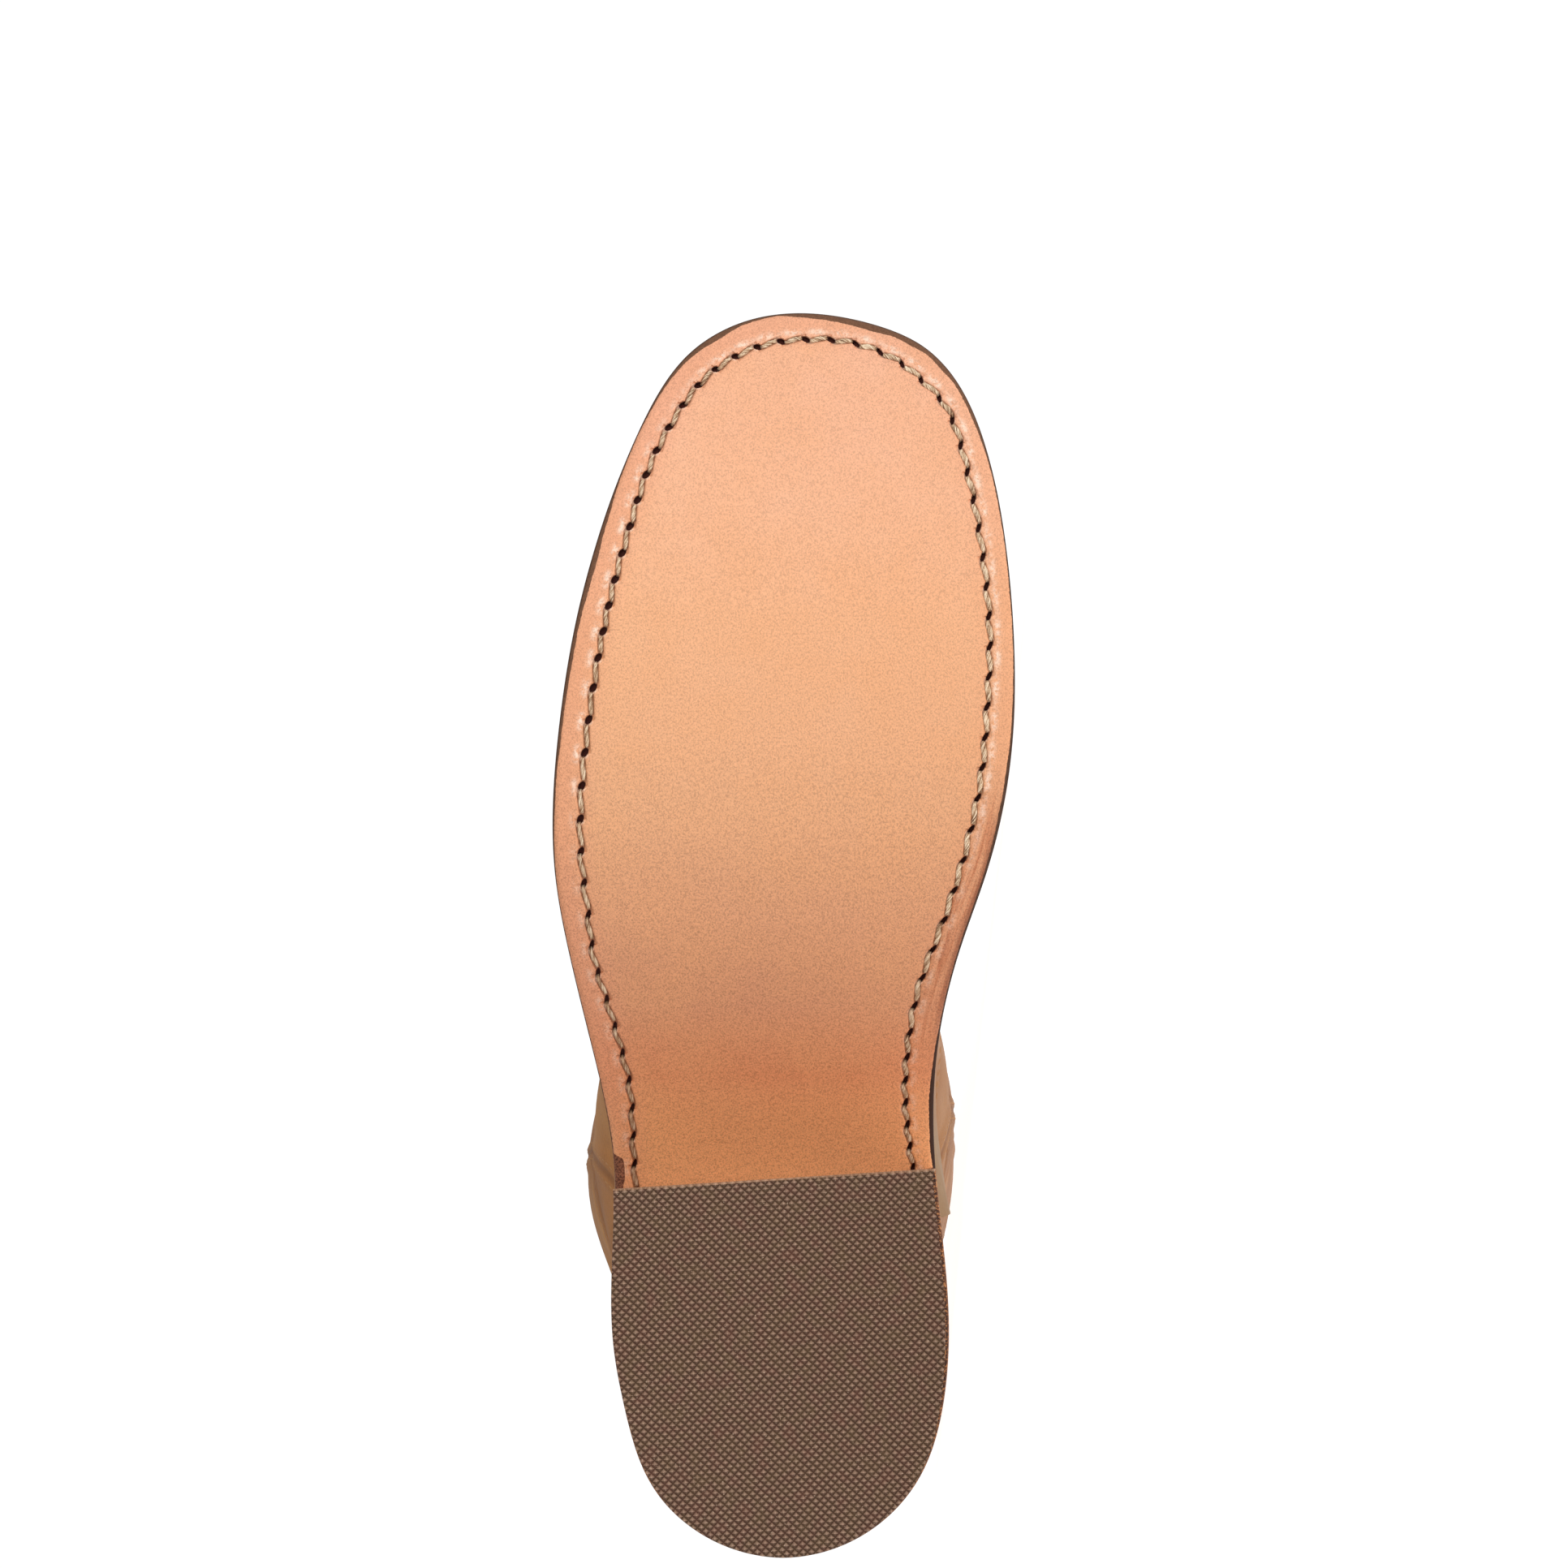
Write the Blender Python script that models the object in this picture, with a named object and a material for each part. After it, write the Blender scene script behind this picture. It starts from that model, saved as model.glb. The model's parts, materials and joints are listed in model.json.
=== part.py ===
"""Campus boot for the right foot: a tall pull-on leather boot with a stitched leather sole and a stacked heel.

The boot is worked out standing, in millimetres: x runs to the lateral side, y from the back of the heel to
the toe, and z up from the floor. It is then laid on its medial side, where it rests on the edge of the sole,
the edge of the heel and the collar. Every piece hangs on one empty, which carries that turn.
"""

import math

import bmesh
import bpy
import numpy as np
from mathutils import Matrix, Vector

MM = 0.001

# Driving sizes
SOLE_LENGTH = 278.0
BALL_WIDTH = 100.4
HEEL_HEIGHT = 58.5
TOE_SPRING = 15.5
BOOT_HEIGHT = 397.0
COLLAR_FRONT_Z = 395.0
COLLAR_FRONT = 140.0
COLLAR_BACK = 1.5
COLLAR_HALF = 51.5

# Thicknesses and the gap that touching pieces keep
OUTSOLE_THICKNESS = 5.0
WELT_THICKNESS = 3.2
INSOLE_THICKNESS = 3.0
INSOLE_CLEARANCE = 0.6
TOP_LIFT_THICKNESS = 6.0
UPPER_WALL = 1.8
VAMP_THICKNESS = 1.6
COUNTER_THICKNESS = 0.8
GAP = 0.3
FEATHER_GAP = 0.4

# Outsole edge: a rounded lower corner and a small bevel above
EDGE_ROUND = 1.4
ROUND_MIDDLE = 0.3
EDGE_BEVEL = 0.4

# Welt: set in from the outsole's edge, clear of the vamp, and run out where the vamp comes over that edge
WELT_STEP = 0.5
WELT_TOP_RING = 0.4
WELT_CLEARANCE = 0.72
WELT_TOP_SLOPE = 0.3
WELT_LATERAL_END = 122.0
WELT_MEDIAL_END = 130.0

# Heel: lifts, taper towards the floor, forward lean of its back, and a breast that is cut askew
HEEL_LIFTS = 8
HEEL_TAPER = 0.012
HEEL_BACK_RAKE = 1.3
HEEL_SEAT_INSET = 0.4
BREAST_LATERAL = 82.9
BREAST_MEDIAL = 87.4
BREAST_RAKE = 2.0
LIFT_BEVEL = 0.25

# Side seam of the shaft: a low ridge, its width as a share of a quarter turn
SEAM_RIDGE = 0.8
SEAM_HALF_TURN = 0.034
SEAM_SLOPE_TURN = 0.005
SEAM_FREE_TURN = 0.1

# Upper edge of the vamp and the counter, in ring rows: at the side joint, at the instep and at the back
JOINT_RING = 5.3
VAMP_PEAK_RING = 9.55
VAMP_EDGE_POWER = 2.5
COUNTER_BACK_RING = 5.7

# The vamp's medial end stands off the counter
VAMP_FLARE = 2.4
VAMP_FLARE_TURN = 0.4

# Mesh density
SOLE_POINTS = 84
INSOLE_POINTS = 84
HEEL_POINTS = 26
WELT_SECTIONS = 62
WELT_SAMPLES = 1440
BACK_COLUMNS = 10
FRONT_COLUMNS = 19
SIDE_CROWDING = 1.15
FOOT_ROWS = 9
SHAFT_ROWS = 11

# Colours: base colour, roughness
LEATHER_SOLE = ((0.80, 0.47, 0.28), 0.55)
LEATHER_EDGE = ((0.20, 0.10, 0.055), 0.45)
LEATHER_STACK = ((0.30, 0.14, 0.07), 0.60)
LEATHER_UPPER = ((0.46, 0.27, 0.13), 0.45)
LEATHER_LINING = ((0.62, 0.42, 0.25), 0.70)
RUBBER_BROWN = ((0.15, 0.09, 0.06), 0.75)
SMOOTH_EDGE_DEGREES = 40


def table(names, *rows):
    """The columns of a table by name."""
    return dict(zip(names.split(), np.array(rows).T))


# Plan of the outsole: station as a share of its length, centre and width as shares of the ball width
SOLE_PLAN = table(
    "station centre width",
    (0.043, 0.002, 0.528),
    (0.101, 0.000, 0.689),
    (0.180, 0.007, 0.755),
    (0.306, 0.020, 0.727),
    (0.416, 0.044, 0.781),
    (0.494, 0.043, 0.878),
    (0.546, 0.030, 0.949),
    (0.648, -0.001, 1.000),
    (0.752, -0.024, 0.958),
    (0.856, -0.048, 0.839),
    (0.963, -0.060, 0.556),
    (0.984, -0.053, 0.392),
)
HEEL_END_RADIUS = 35.0
TOE_END_RADIUS = 45.0
TOE_END_CENTRE = -0.035
BALL_STATION = 0.648

# Underside of the outsole: its height at a station, as shares of the heel height and of the toe spring
SOLE_PROFILE = table(
    "station heel spring",
    (0.000, 1.000, 0.00),
    (0.155, 0.872, 0.00),
    (0.240, 0.785, 0.00),
    (0.306, 0.694, 0.00),
    (0.370, 0.538, 0.00),
    (0.442, 0.342, 0.00),
    (0.514, 0.162, 0.00),
    (0.586, 0.043, 0.00),
    (0.651, 0.000, 0.00),
    (0.748, 0.000, 0.00),
    (0.820, 0.000, 0.10),
    (0.892, 0.000, 0.32),
    (0.946, 0.000, 0.61),
    (1.000, 0.000, 1.00),
)

# Rings of the upper's outer face, from the feather edge at the sole up to the collar. Each ring lies between a
# point on the front line and one on the back line. Its plan is the foot's outline or, as follow falls, an oval
# with its widest place at a share of its length, pinched before and behind that. Skew moves the medial side
# forward against the lateral one. The side line, where vamp and counter meet and the shaft's side seam runs,
# crosses the ring at side_y.
RINGS = table(
    "front_y front_z back_y back_z side_y centre half widest front_pinch back_pinch follow skew",
    (269.6, 17.4, 3.6, 63.8, 74.0, 0.0, 42.6, 0.660, -0.13, -0.13, 1.00, 0.00),
    (272.0, 26.5, 2.2, 72.0, 74.0, 0.0, 44.2, 0.660, -0.13, -0.13, 1.00, 0.00),
    (271.2, 37.0, 1.8, 82.0, 74.0, 0.0, 44.4, 0.650, -0.13, -0.13, 0.97, 0.00),
    (265.4, 46.8, 2.4, 92.0, 74.0, 0.0, 43.2, 0.620, -0.12, -0.20, 0.88, 0.00),
    (252.0, 53.6, 3.8, 101.5, 74.0, 0.3, 41.4, 0.570, -0.08, -0.19, 0.68, 0.00),
    (232.0, 57.6, 5.8, 110.5, 74.5, 1.0, 39.4, 0.500, -0.04, -0.12, 0.46, 0.00),
    (208.0, 63.6, 8.0, 119.5, 77.0, 1.6, 38.4, 0.450, 0.00, -0.07, 0.26, 0.01),
    (185.0, 73.6, 10.2, 129.5, 82.0, 2.2, 39.2, 0.460, 0.00, -0.03, 0.10, 0.03),
    (166.0, 88.6, 12.0, 141.5, 87.0, 2.7, 41.4, 0.500, 0.00, 0.02, 0.00, 0.07),
    (153.0, 110.0, 13.2, 157.0, 91.0, 3.1, 43.8, 0.550, 0.00, 0.07, 0.00, 0.10),
    (145.0, 140.0, 13.6, 178.0, 91.5, 3.3, 45.4, 0.565, 0.00, 0.09, 0.00, 0.11),
    (140.6, 182.0, 11.8, 208.0, 90.0, 3.3, 46.5, 0.565, 0.00, 0.09, 0.00, 0.11),
    (138.6, 242.0, 7.6, 256.0, 86.0, 3.3, 48.2, 0.550, 0.00, 0.07, 0.00, 0.09),
    (139.0, 320.0, 3.0, 328.0, 81.0, 2.9, 50.2, 0.530, 0.00, 0.03, 0.00, 0.05),
    (COLLAR_FRONT, COLLAR_FRONT_Z, COLLAR_BACK, BOOT_HEIGHT,
     78.0, 2.5, COLLAR_HALF, 0.520, 0.00, 0.00, 0.00, 0.03),
)
FEATHER_HEEL_SHRINK = 1.02
FEATHER_TOE_SHRINK = 0.80
NORMAL_STEP = 1e-3
SETTLING_STEPS = 30


def monotone(xs, ys, x):
    """A curve through the points (xs, ys) that never overshoots them, read at x."""
    xs, ys, x = (np.asarray(a, float) for a in (xs, ys, x))
    step = np.diff(xs)
    rise = np.diff(ys) / step
    both = rise[:-1] * rise[1:]
    total = np.where(both > 0, rise[:-1] + rise[1:], 1.0)
    slope = np.concatenate([rise[:1], np.where(both > 0, 2 * both / total, 0.0), rise[-1:]])
    k = np.clip(np.searchsorted(xs, x, "right") - 1, 0, len(step) - 1)
    t = (x - xs[k]) / step[k]
    start = (1 + 2 * t) * (1 - t) ** 2 * ys[k] + t * (1 - t) ** 2 * step[k] * slope[k]
    return start + t * t * (3 - 2 * t) * ys[k + 1] - t * t * (1 - t) * step[k] * slope[k + 1]


def spline_bends(xs, ys):
    """Second derivatives of the natural cubic spline through the rows of ys at xs."""
    count = len(xs)
    step = np.diff(xs)
    matrix = np.eye(count)
    right = np.zeros(ys.shape)
    for i in range(1, count - 1):
        matrix[i, i - 1 : i + 2] = step[i - 1], 2 * (step[i - 1] + step[i]), step[i]
        right[i] = 6 * ((ys[i + 1] - ys[i]) / step[i] - (ys[i] - ys[i - 1]) / step[i - 1])
    return np.linalg.solve(matrix, right)


def spline(xs, ys, bends, x):
    """The natural cubic spline, with its bends, read at x. Each column of ys is a curve of its own."""
    x = np.asarray(x, float)
    k = np.clip(np.searchsorted(xs, x, "right") - 1, 0, len(xs) - 2)
    step = xs[k + 1] - xs[k]
    after = ((x - xs[k]) / step)[..., None]
    before = 1 - after
    bent = (before**3 - before) * bends[k] + (after**3 - after) * bends[k + 1]
    return before * ys[k] + after * ys[k + 1] + bent * (step**2 / 6)[..., None]


def plan_values():
    """Stations, with the centre and the half width over sin(angle), which stays finite at the round ends."""
    station, centre, width = SOLE_PLAN.values()
    swell = width * BALL_WIDTH / 2 / (2 * np.sqrt(station * (1 - station)))
    heel_end, toe_end = (math.sqrt(radius * SOLE_LENGTH / 2) for radius in (HEEL_END_RADIUS, TOE_END_RADIUS))
    centre = np.concatenate([centre[:1], centre, [TOE_END_CENTRE]]) * BALL_WIDTH
    swell = np.concatenate([[heel_end], swell, [toe_end]])
    return np.concatenate([[0.0], station, [1.0]]), np.stack([centre, swell], axis=1)


PLAN_STATIONS, PLAN_VALUES = plan_values()
PLAN_BENDS = spline_bends(PLAN_STATIONS, PLAN_VALUES)
RING_VALUES = np.stack(list(RINGS.values()), axis=1)
RING_ROWS = np.arange(len(RING_VALUES), dtype=float)
RING_BENDS = spline_bends(RING_ROWS, RING_VALUES)


def ring_at(ring):
    """The values of every column of the rings' table at a ring row, by name."""
    values = spline(RING_ROWS, RING_VALUES, RING_BENDS, ring)
    return dict(zip(RINGS, np.moveaxis(values, -1, 0)))


def share_of(angle):
    """Share of a ring's length at an angle: 0 at the back, 1 at the front for half a turn."""
    return (1 - np.cos(angle)) / 2


def foot_plan(angle):
    """Centre and half width of the outsole's plan at an angle."""
    centre, swell = np.moveaxis(spline(PLAN_STATIONS, PLAN_VALUES, PLAN_BENDS, share_of(angle)), -1, 0)
    return centre, swell * np.sin(angle)


def sole_height(y):
    """Height of the outsole's underside over the floor at a station in millimetres."""
    share = np.clip(np.asarray(y, float) / SOLE_LENGTH, 0, 1)
    heel, spring = (monotone(SOLE_PROFILE["station"], SOLE_PROFILE[name], share) for name in ("heel", "spring"))
    return HEEL_HEIGHT * heel + TOE_SPRING * spring


def around(count):
    """Angles round a closed outline, none of them on the centre line, so that each has its twin across."""
    return 2 * math.pi * (np.arange(count) + 0.5) / count


def sole_outline(angle):
    """Plan points of the outsole's edge."""
    centre, half = foot_plan(angle)
    return np.stack([centre + half, SOLE_LENGTH * share_of(angle)], axis=-1)


def inset(outline, depth):
    """A closed outline, which runs anticlockwise seen from above, moved inwards by a depth."""
    before = outline - np.roll(outline, 1, axis=0)
    after = np.roll(outline, -1, axis=0) - outline
    before /= np.linalg.norm(before, axis=1)[:, None]
    after /= np.linalg.norm(after, axis=1)[:, None]
    along = before + after
    along /= np.linalg.norm(along, axis=1)[:, None]
    stretch = np.sum(along * after, axis=1)[:, None]
    return outline + np.stack([-along[:, 1], along[:, 0]], axis=1) * depth / stretch


def lifted(outline, rise):
    """Plan points raised to lie rise above the outsole's underside."""
    return np.column_stack([outline, sole_height(outline[:, 1]) + rise])


def oval(share, row):
    """Half width of an egg-shaped ring as a share of its largest."""
    widest = row["widest"]
    reach = np.where(share > widest, (share - widest) / (1 - widest), (widest - share) / widest)
    pinch = np.where(share > widest, row["front_pinch"], row["back_pinch"])
    return np.sqrt(np.maximum(1 - reach**2, 0)) * (1 - pinch * np.sin(math.pi * reach) ** 2)


def feather_shrink(share):
    """How much narrower than the outsole the upper's foot is, at a share of its length."""
    return FEATHER_HEEL_SHRINK + (FEATHER_TOE_SHRINK - FEATHER_HEEL_SHRINK) * share


def feather_height(y):
    """Height at which the upper stands on the outsole at a station."""
    return sole_height(y) + OUTSOLE_THICKNESS + FEATHER_GAP


def upper_surface(ring, angle):
    """A point of the upper's outer face at a ring row and an angle, which are arrays of one shape."""
    ring, angle = np.broadcast_arrays(np.asarray(ring, float), np.asarray(angle, float))
    row = ring_at(ring)
    follow = np.clip(row["follow"], 0, 1)
    share = share_of(angle)
    y = row["back_y"] + (row["front_y"] - row["back_y"]) * share

    foot_centre, foot_half = foot_plan(angle)
    foot_shape = np.abs(foot_half) * feather_shrink(share) / (BALL_WIDTH / 2 * feather_shrink(BALL_STATION))
    width = row["half"] * (follow * foot_shape + (1 - follow) * oval(share, row))
    across = width * np.sign(np.sin(angle))
    x = follow * foot_centre + (1 - follow) * row["centre"] + across
    y = y - row["skew"] * across

    straight = row["back_z"] + (row["front_z"] - row["back_z"]) * share
    back_rise = row["back_z"] - feather_height(row["back_y"])
    front_rise = row["front_z"] - feather_height(row["front_y"])
    rise = np.where(ring <= 0, 0.0, back_rise + (front_rise - back_rise) * share)
    z = follow * (feather_height(y) + rise) + (1 - follow) * straight
    return np.stack([x, y, z], axis=-1)


def upper_normal(ring, angle):
    """Outward normal of the upper's outer face. At the feather edge it is level."""
    along = upper_surface(ring, angle + NORMAL_STEP) - upper_surface(ring, angle - NORMAL_STEP)
    top = len(RING_ROWS) - 1
    above = np.clip(ring + NORMAL_STEP, NORMAL_STEP, top)
    below = np.clip(ring - NORMAL_STEP, NORMAL_STEP / 2, top)
    normal = np.cross(along, upper_surface(above, angle) - upper_surface(below, angle))
    normal[..., 2] *= np.clip(ring, 0, 1)
    return normal / np.linalg.norm(normal, axis=-1)[..., None]


def upper_offset(ring, angle, depth):
    """The upper's outer face moved out by a depth, or in if that is negative. Its foot keeps to the outsole."""
    start = upper_surface(ring, angle)
    moved = start + upper_normal(ring, angle) * np.asarray(depth, float)[..., None]
    moved[..., 2] += (sole_height(moved[..., 1]) - sole_height(start[..., 1])) * np.clip(1 - ring, 0, 1)
    return moved


def angle_at(ring, turn):
    """Angle at a ring row for a turn: 0 at the back, 1 on the lateral side line, 2 at the toe, 3 medially."""
    row = ring_at(ring)
    side = np.arccos(1 - 2 * (row["side_y"] - row["back_y"]) / (row["front_y"] - row["back_y"]))
    toe_turn = np.abs(turn - 2)
    lateral_angle = np.where(toe_turn > 1, side * (2 - toe_turn), math.pi - (math.pi - side) * toe_turn)
    return np.where(turn > 2, 2 * math.pi - lateral_angle, lateral_angle)


def add_object(name, points, faces, finish, boot):
    """A named object from points in millimetres and faces, hung on the boot's empty."""
    mesh = bpy.data.meshes.new(name)
    build = bmesh.new()
    corners = [build.verts.new(Vector(p) * MM) for p in points]
    for face in faces:
        build.faces.new([corners[k] for k in face])
    bmesh.ops.recalc_face_normals(build, faces=build.faces)
    build.to_mesh(mesh)
    build.free()
    mesh.shade_smooth()
    mesh.set_sharp_from_angle(angle=math.radians(SMOOTH_EDGE_DEGREES))
    mesh.materials.append(material(name, *finish))
    made = bpy.data.objects.new(name, mesh)
    bpy.context.scene.collection.objects.link(made)
    made.parent = boot
    return made


def material(name, colour, roughness):
    made = bpy.data.materials.new(name)
    made.use_nodes = True
    shader = made.node_tree.nodes["Principled BSDF"]
    shader.inputs["Base Color"].default_value = (*colour, 1.0)
    shader.inputs["Roughness"].default_value = roughness
    shader.inputs["Metallic"].default_value = 0.0
    return made


def plate(loops):
    """Points and faces of a solid stacked from closed loops, whose points have twins across the centre line."""
    count = len(loops[0])
    points = np.concatenate(loops)
    faces = []
    for level in range(len(loops) - 1):
        low, high = level * count, (level + 1) * count
        for k in range(count):
            after = (k + 1) % count
            faces.append((low + k, low + after, high + after, high + k))
    for first in (0, (len(loops) - 1) * count):
        for k in range(count // 2 - 1):
            faces.append((first + k, first + k + 1, first + count - 2 - k, first + count - 1 - k))
    return points, faces


def shell(outer, inner, closed):
    """Points and faces of a wall between two grids, closed round its columns or with an edge at each end."""
    rows, columns = outer.shape[:2]
    points = np.concatenate([outer.reshape(-1, 3), inner.reshape(-1, 3)])
    inside = rows * columns
    faces = []
    spans = columns if closed else columns - 1
    for j in range(spans):
        after = (j + 1) % columns
        for i in range(rows - 1):
            corners = (i * columns + j, i * columns + after, (i + 1) * columns + after, (i + 1) * columns + j)
            faces.append(corners)
            faces.append(tuple(inside + corners[k] for k in (0, 3, 2, 1)))
        for i in (0, rows - 1):
            near, far = i * columns + j, i * columns + after
            faces.append((near, far, inside + far, inside + near))
    if not closed:
        for j in (0, columns - 1):
            for i in range(rows - 1):
                low, high = i * columns + j, (i + 1) * columns + j
                faces.append((low, high, inside + high, inside + low))
    return points, faces


def strip(sections):
    """Points and faces of a bar with an end at each side, from sections of one point count."""
    count, sides = sections.shape[:2]
    faces = [tuple(range(sides)), tuple((count - 1) * sides + k for k in range(sides))]
    for i in range(count - 1):
        for k in range(sides):
            after = (k + 1) % sides
            faces.append((i * sides + k, i * sides + after, (i + 1) * sides + after, (i + 1) * sides + k))
    return sections.reshape(-1, 3), faces


def make_outsole(boot):
    edge = sole_outline(around(SOLE_POINTS))
    steps = (
        (EDGE_ROUND, 0.0),
        (EDGE_ROUND * ROUND_MIDDLE, EDGE_ROUND * ROUND_MIDDLE),
        (0.0, EDGE_ROUND),
        (0.0, OUTSOLE_THICKNESS - EDGE_BEVEL),
        (EDGE_BEVEL, OUTSOLE_THICKNESS),
    )
    loops = [lifted(inset(edge, depth), rise) for depth, rise in steps]
    return add_object("outsole", *plate(loops), LEATHER_SOLE, boot)


def make_welt(boot):
    """The strip between the outsole's edge and the vamp, from one side of the waist round the toe."""
    start, end = (math.acos(1 - 2 * y / SOLE_LENGTH) for y in (WELT_LATERAL_END, WELT_MEDIAL_END))
    angle = np.linspace(start, 2 * math.pi - end, WELT_SECTIONS)
    fine = around(WELT_SAMPLES)
    edge = inset(sole_outline(fine), WELT_STEP)
    rim = np.column_stack([np.interp(angle, fine, edge[:, k]) for k in range(2)])
    clearance = np.full(fine.shape, VAMP_THICKNESS + WELT_CLEARANCE)
    skin = upper_offset(np.full(fine.shape, WELT_TOP_RING), fine, clearance)[:, :2]
    skin = skin[np.argmin(np.linalg.norm(rim[:, None] - skin, axis=2), axis=1)]
    slope = rim + (skin - rim) * WELT_TOP_SLOPE
    low = OUTSOLE_THICKNESS + GAP
    high = low + WELT_THICKNESS
    corners = ((rim, low), (rim, high - EDGE_BEVEL), (slope, high), (skin, high), (skin, low))
    sections = np.stack([lifted(plan, rise) for plan, rise in corners], axis=1)
    return add_object("welt", *strip(sections), LEATHER_EDGE, boot)


def make_insole(boot):
    """The board that the foot stands on, inside the upper."""
    angle = around(INSOLE_POINTS)
    inward = np.full(angle.shape, -UPPER_WALL - INSOLE_CLEARANCE)
    edge = upper_offset(np.full(angle.shape, 0.0), angle, inward)[:, :2]
    low = OUTSOLE_THICKNESS + GAP
    high = low + INSOLE_THICKNESS
    steps = ((edge, low), (edge, high - EDGE_BEVEL), (inset(edge, EDGE_BEVEL), high))
    return add_object("insole", *plate([lifted(plan, rise) for plan, rise in steps]), LEATHER_LINING, boot)


def heel_outline(level):
    """D-shaped plan of the heel at a level, 0 on the floor and 1 at the outsole, from the back round."""
    count = HEEL_POINTS // 2
    back = HEEL_BACK_RAKE * (1 - level) + HEEL_SEAT_INSET
    sides = []
    for breast, sign in ((BREAST_LATERAL, 1), (BREAST_MEDIAL, -1)):
        angle = (np.arange(count) + 0.5) / (count - 0.5) * math.acos(1 - 2 * breast / SOLE_LENGTH)
        centre, half = foot_plan(angle)
        front = breast - BREAST_RAKE * level
        y = back + SOLE_LENGTH * share_of(angle) * (front - back) / breast
        x = centre + sign * (half - HEEL_SEAT_INSET) * (1 - HEEL_TAPER * (1 - level))
        sides.append(np.column_stack([x, y]))
    return np.concatenate([sides[0], sides[1][::-1]])


def make_top_lift(boot):
    """The rubber lift that stands flat on the floor."""
    floor, top = heel_outline(0.0), heel_outline(TOP_LIFT_THICKNESS / HEEL_HEIGHT)
    steps = ((inset(floor, LIFT_BEVEL), 0.0), (floor, LIFT_BEVEL), (top, TOP_LIFT_THICKNESS))
    loops = [np.column_stack([plan, np.full(len(plan), height)]) for plan, height in steps]
    return add_object("top_lift", *plate(loops), RUBBER_BROWN, boot)


def make_heel_lifts(boot):
    """The leather lifts between the top lift and the outsole, each a wedge of the heel's fan."""
    base = TOP_LIFT_THICKNESS
    first_level = base / HEEL_HEIGHT
    share = np.linspace(0, 1, HEEL_LIFTS + 1)
    made = []
    for k in range(HEEL_LIFTS):
        low, high = share[k], share[k + 1]
        bottom = ((low, LIFT_BEVEL, GAP), (low, 0.0, GAP + LIFT_BEVEL))
        top = ((high, 0.0, -LIFT_BEVEL), (high, LIFT_BEVEL, 0.0))
        loops = []
        for part, depth, shift in bottom + top:
            plan = inset(heel_outline(first_level + (1 - first_level) * part), depth)
            height = base + (sole_height(plan[:, 1]) - GAP - base) * part
            loops.append(np.column_stack([plan, height + shift]))
        made.append(add_object(f"heel_lift_{k + 1}", *plate(loops), LEATHER_STACK, boot))
    return made


def column_turns():
    """Turns of the upper's columns, with the side line and the ridge's two edges among them."""
    edges = SEAM_HALF_TURN + SEAM_SLOPE_TURN * np.array([-1.0, 1.0])
    back = np.linspace(0, 1 - SEAM_FREE_TURN, BACK_COLUMNS)
    front = 2 - (1 - SEAM_FREE_TURN) * (1 - np.linspace(0, 1, FRONT_COLUMNS) ** SIDE_CROWDING)
    half = np.concatenate([back, 1 - edges[::-1], [1.0], 1 + edges, front])
    return np.concatenate([half, 4 - half[-2:0:-1]])


def overlay_edge(turn):
    """Ring row of the upper edge of vamp and counter at a turn."""
    toe_turn = np.abs(turn - 2)
    climb = 1 - np.clip(toe_turn, 0, 1) ** VAMP_EDGE_POWER
    vamp = JOINT_RING + (VAMP_PEAK_RING - JOINT_RING) * climb
    counter = JOINT_RING + (COUNTER_BACK_RING - JOINT_RING) * np.sin(np.clip(toe_turn - 1, 0, 1) * math.pi / 2)
    return np.where(toe_turn > 1, counter, vamp)


def upper_grid(turn):
    """Ring rows at each crossing of the upper's rows and columns. One row follows the edge of the overlays."""
    edge = overlay_edge(turn)
    foot = np.linspace(0, 1, FOOT_ROWS + 1)[:, None] * edge
    shaft = edge + np.linspace(0, 1, SHAFT_ROWS + 1)[1:, None] * (RING_ROWS[-1] - edge)
    return np.concatenate([foot, shaft])


def make_upper(boot):
    """Shaft and foot in one hollow wall, open at the collar and underneath."""
    turn = column_turns()
    ring = upper_grid(turn)
    angle = angle_at(ring, turn)
    on_seam = np.abs(np.abs(turn - 2) - 1) < SEAM_HALF_TURN
    ridge = np.where(on_seam & (np.arange(len(ring))[:, None] > FOOT_ROWS), SEAM_RIDGE, 0.0)
    outer = upper_offset(ring, angle, ridge)
    inner = upper_offset(ring, angle, np.full(ring.shape, -UPPER_WALL))
    return add_object("upper", *shell(outer, inner, True), LEATHER_UPPER, boot)


def make_overlay(boot, name, turn, thickness, joint_shift, flare):
    """A leather over the foot of the upper, a gap away from it. Its medial joint edge may flare."""
    ring = upper_grid(turn % 4)[: FOOT_ROWS + 1]
    angle = angle_at(ring, turn % 4)
    near_joint = np.clip(1 - np.abs(3 - turn % 4) / VAMP_FLARE_TURN, 0, 1) ** 2
    lift = flare * near_joint * np.sin(math.pi * np.linspace(0, 1, FOOT_ROWS + 1))[:, None]
    faces = []
    for depth in (GAP + thickness, GAP):
        face = upper_offset(ring, angle, depth + lift)
        face[:, (0, -1), 1] += joint_shift
        faces.append(face)
    return add_object(name, *shell(*faces, False), LEATHER_UPPER, boot)


def make_vamp(boot):
    """The forefoot's outer leather, from the side joints forward, its upper edge rising to the instep."""
    turn = column_turns()
    return make_overlay(boot, "vamp", turn[(turn >= 1) & (turn <= 3)], VAMP_THICKNESS, GAP / 2, VAMP_FLARE)


def make_counter(boot):
    """The outer leather round the back of the heel, between the side joints."""
    turn = column_turns()
    turn = np.concatenate([turn[turn >= 3] - 4, turn[turn <= 1]])
    return make_overlay(boot, "counter", turn, COUNTER_THICKNESS, -GAP / 2, 0.0)


def standing_points(objects):
    """The objects' points, standing, in metres."""
    return np.array([v.co for made in objects for v in made.data.vertices])


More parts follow.
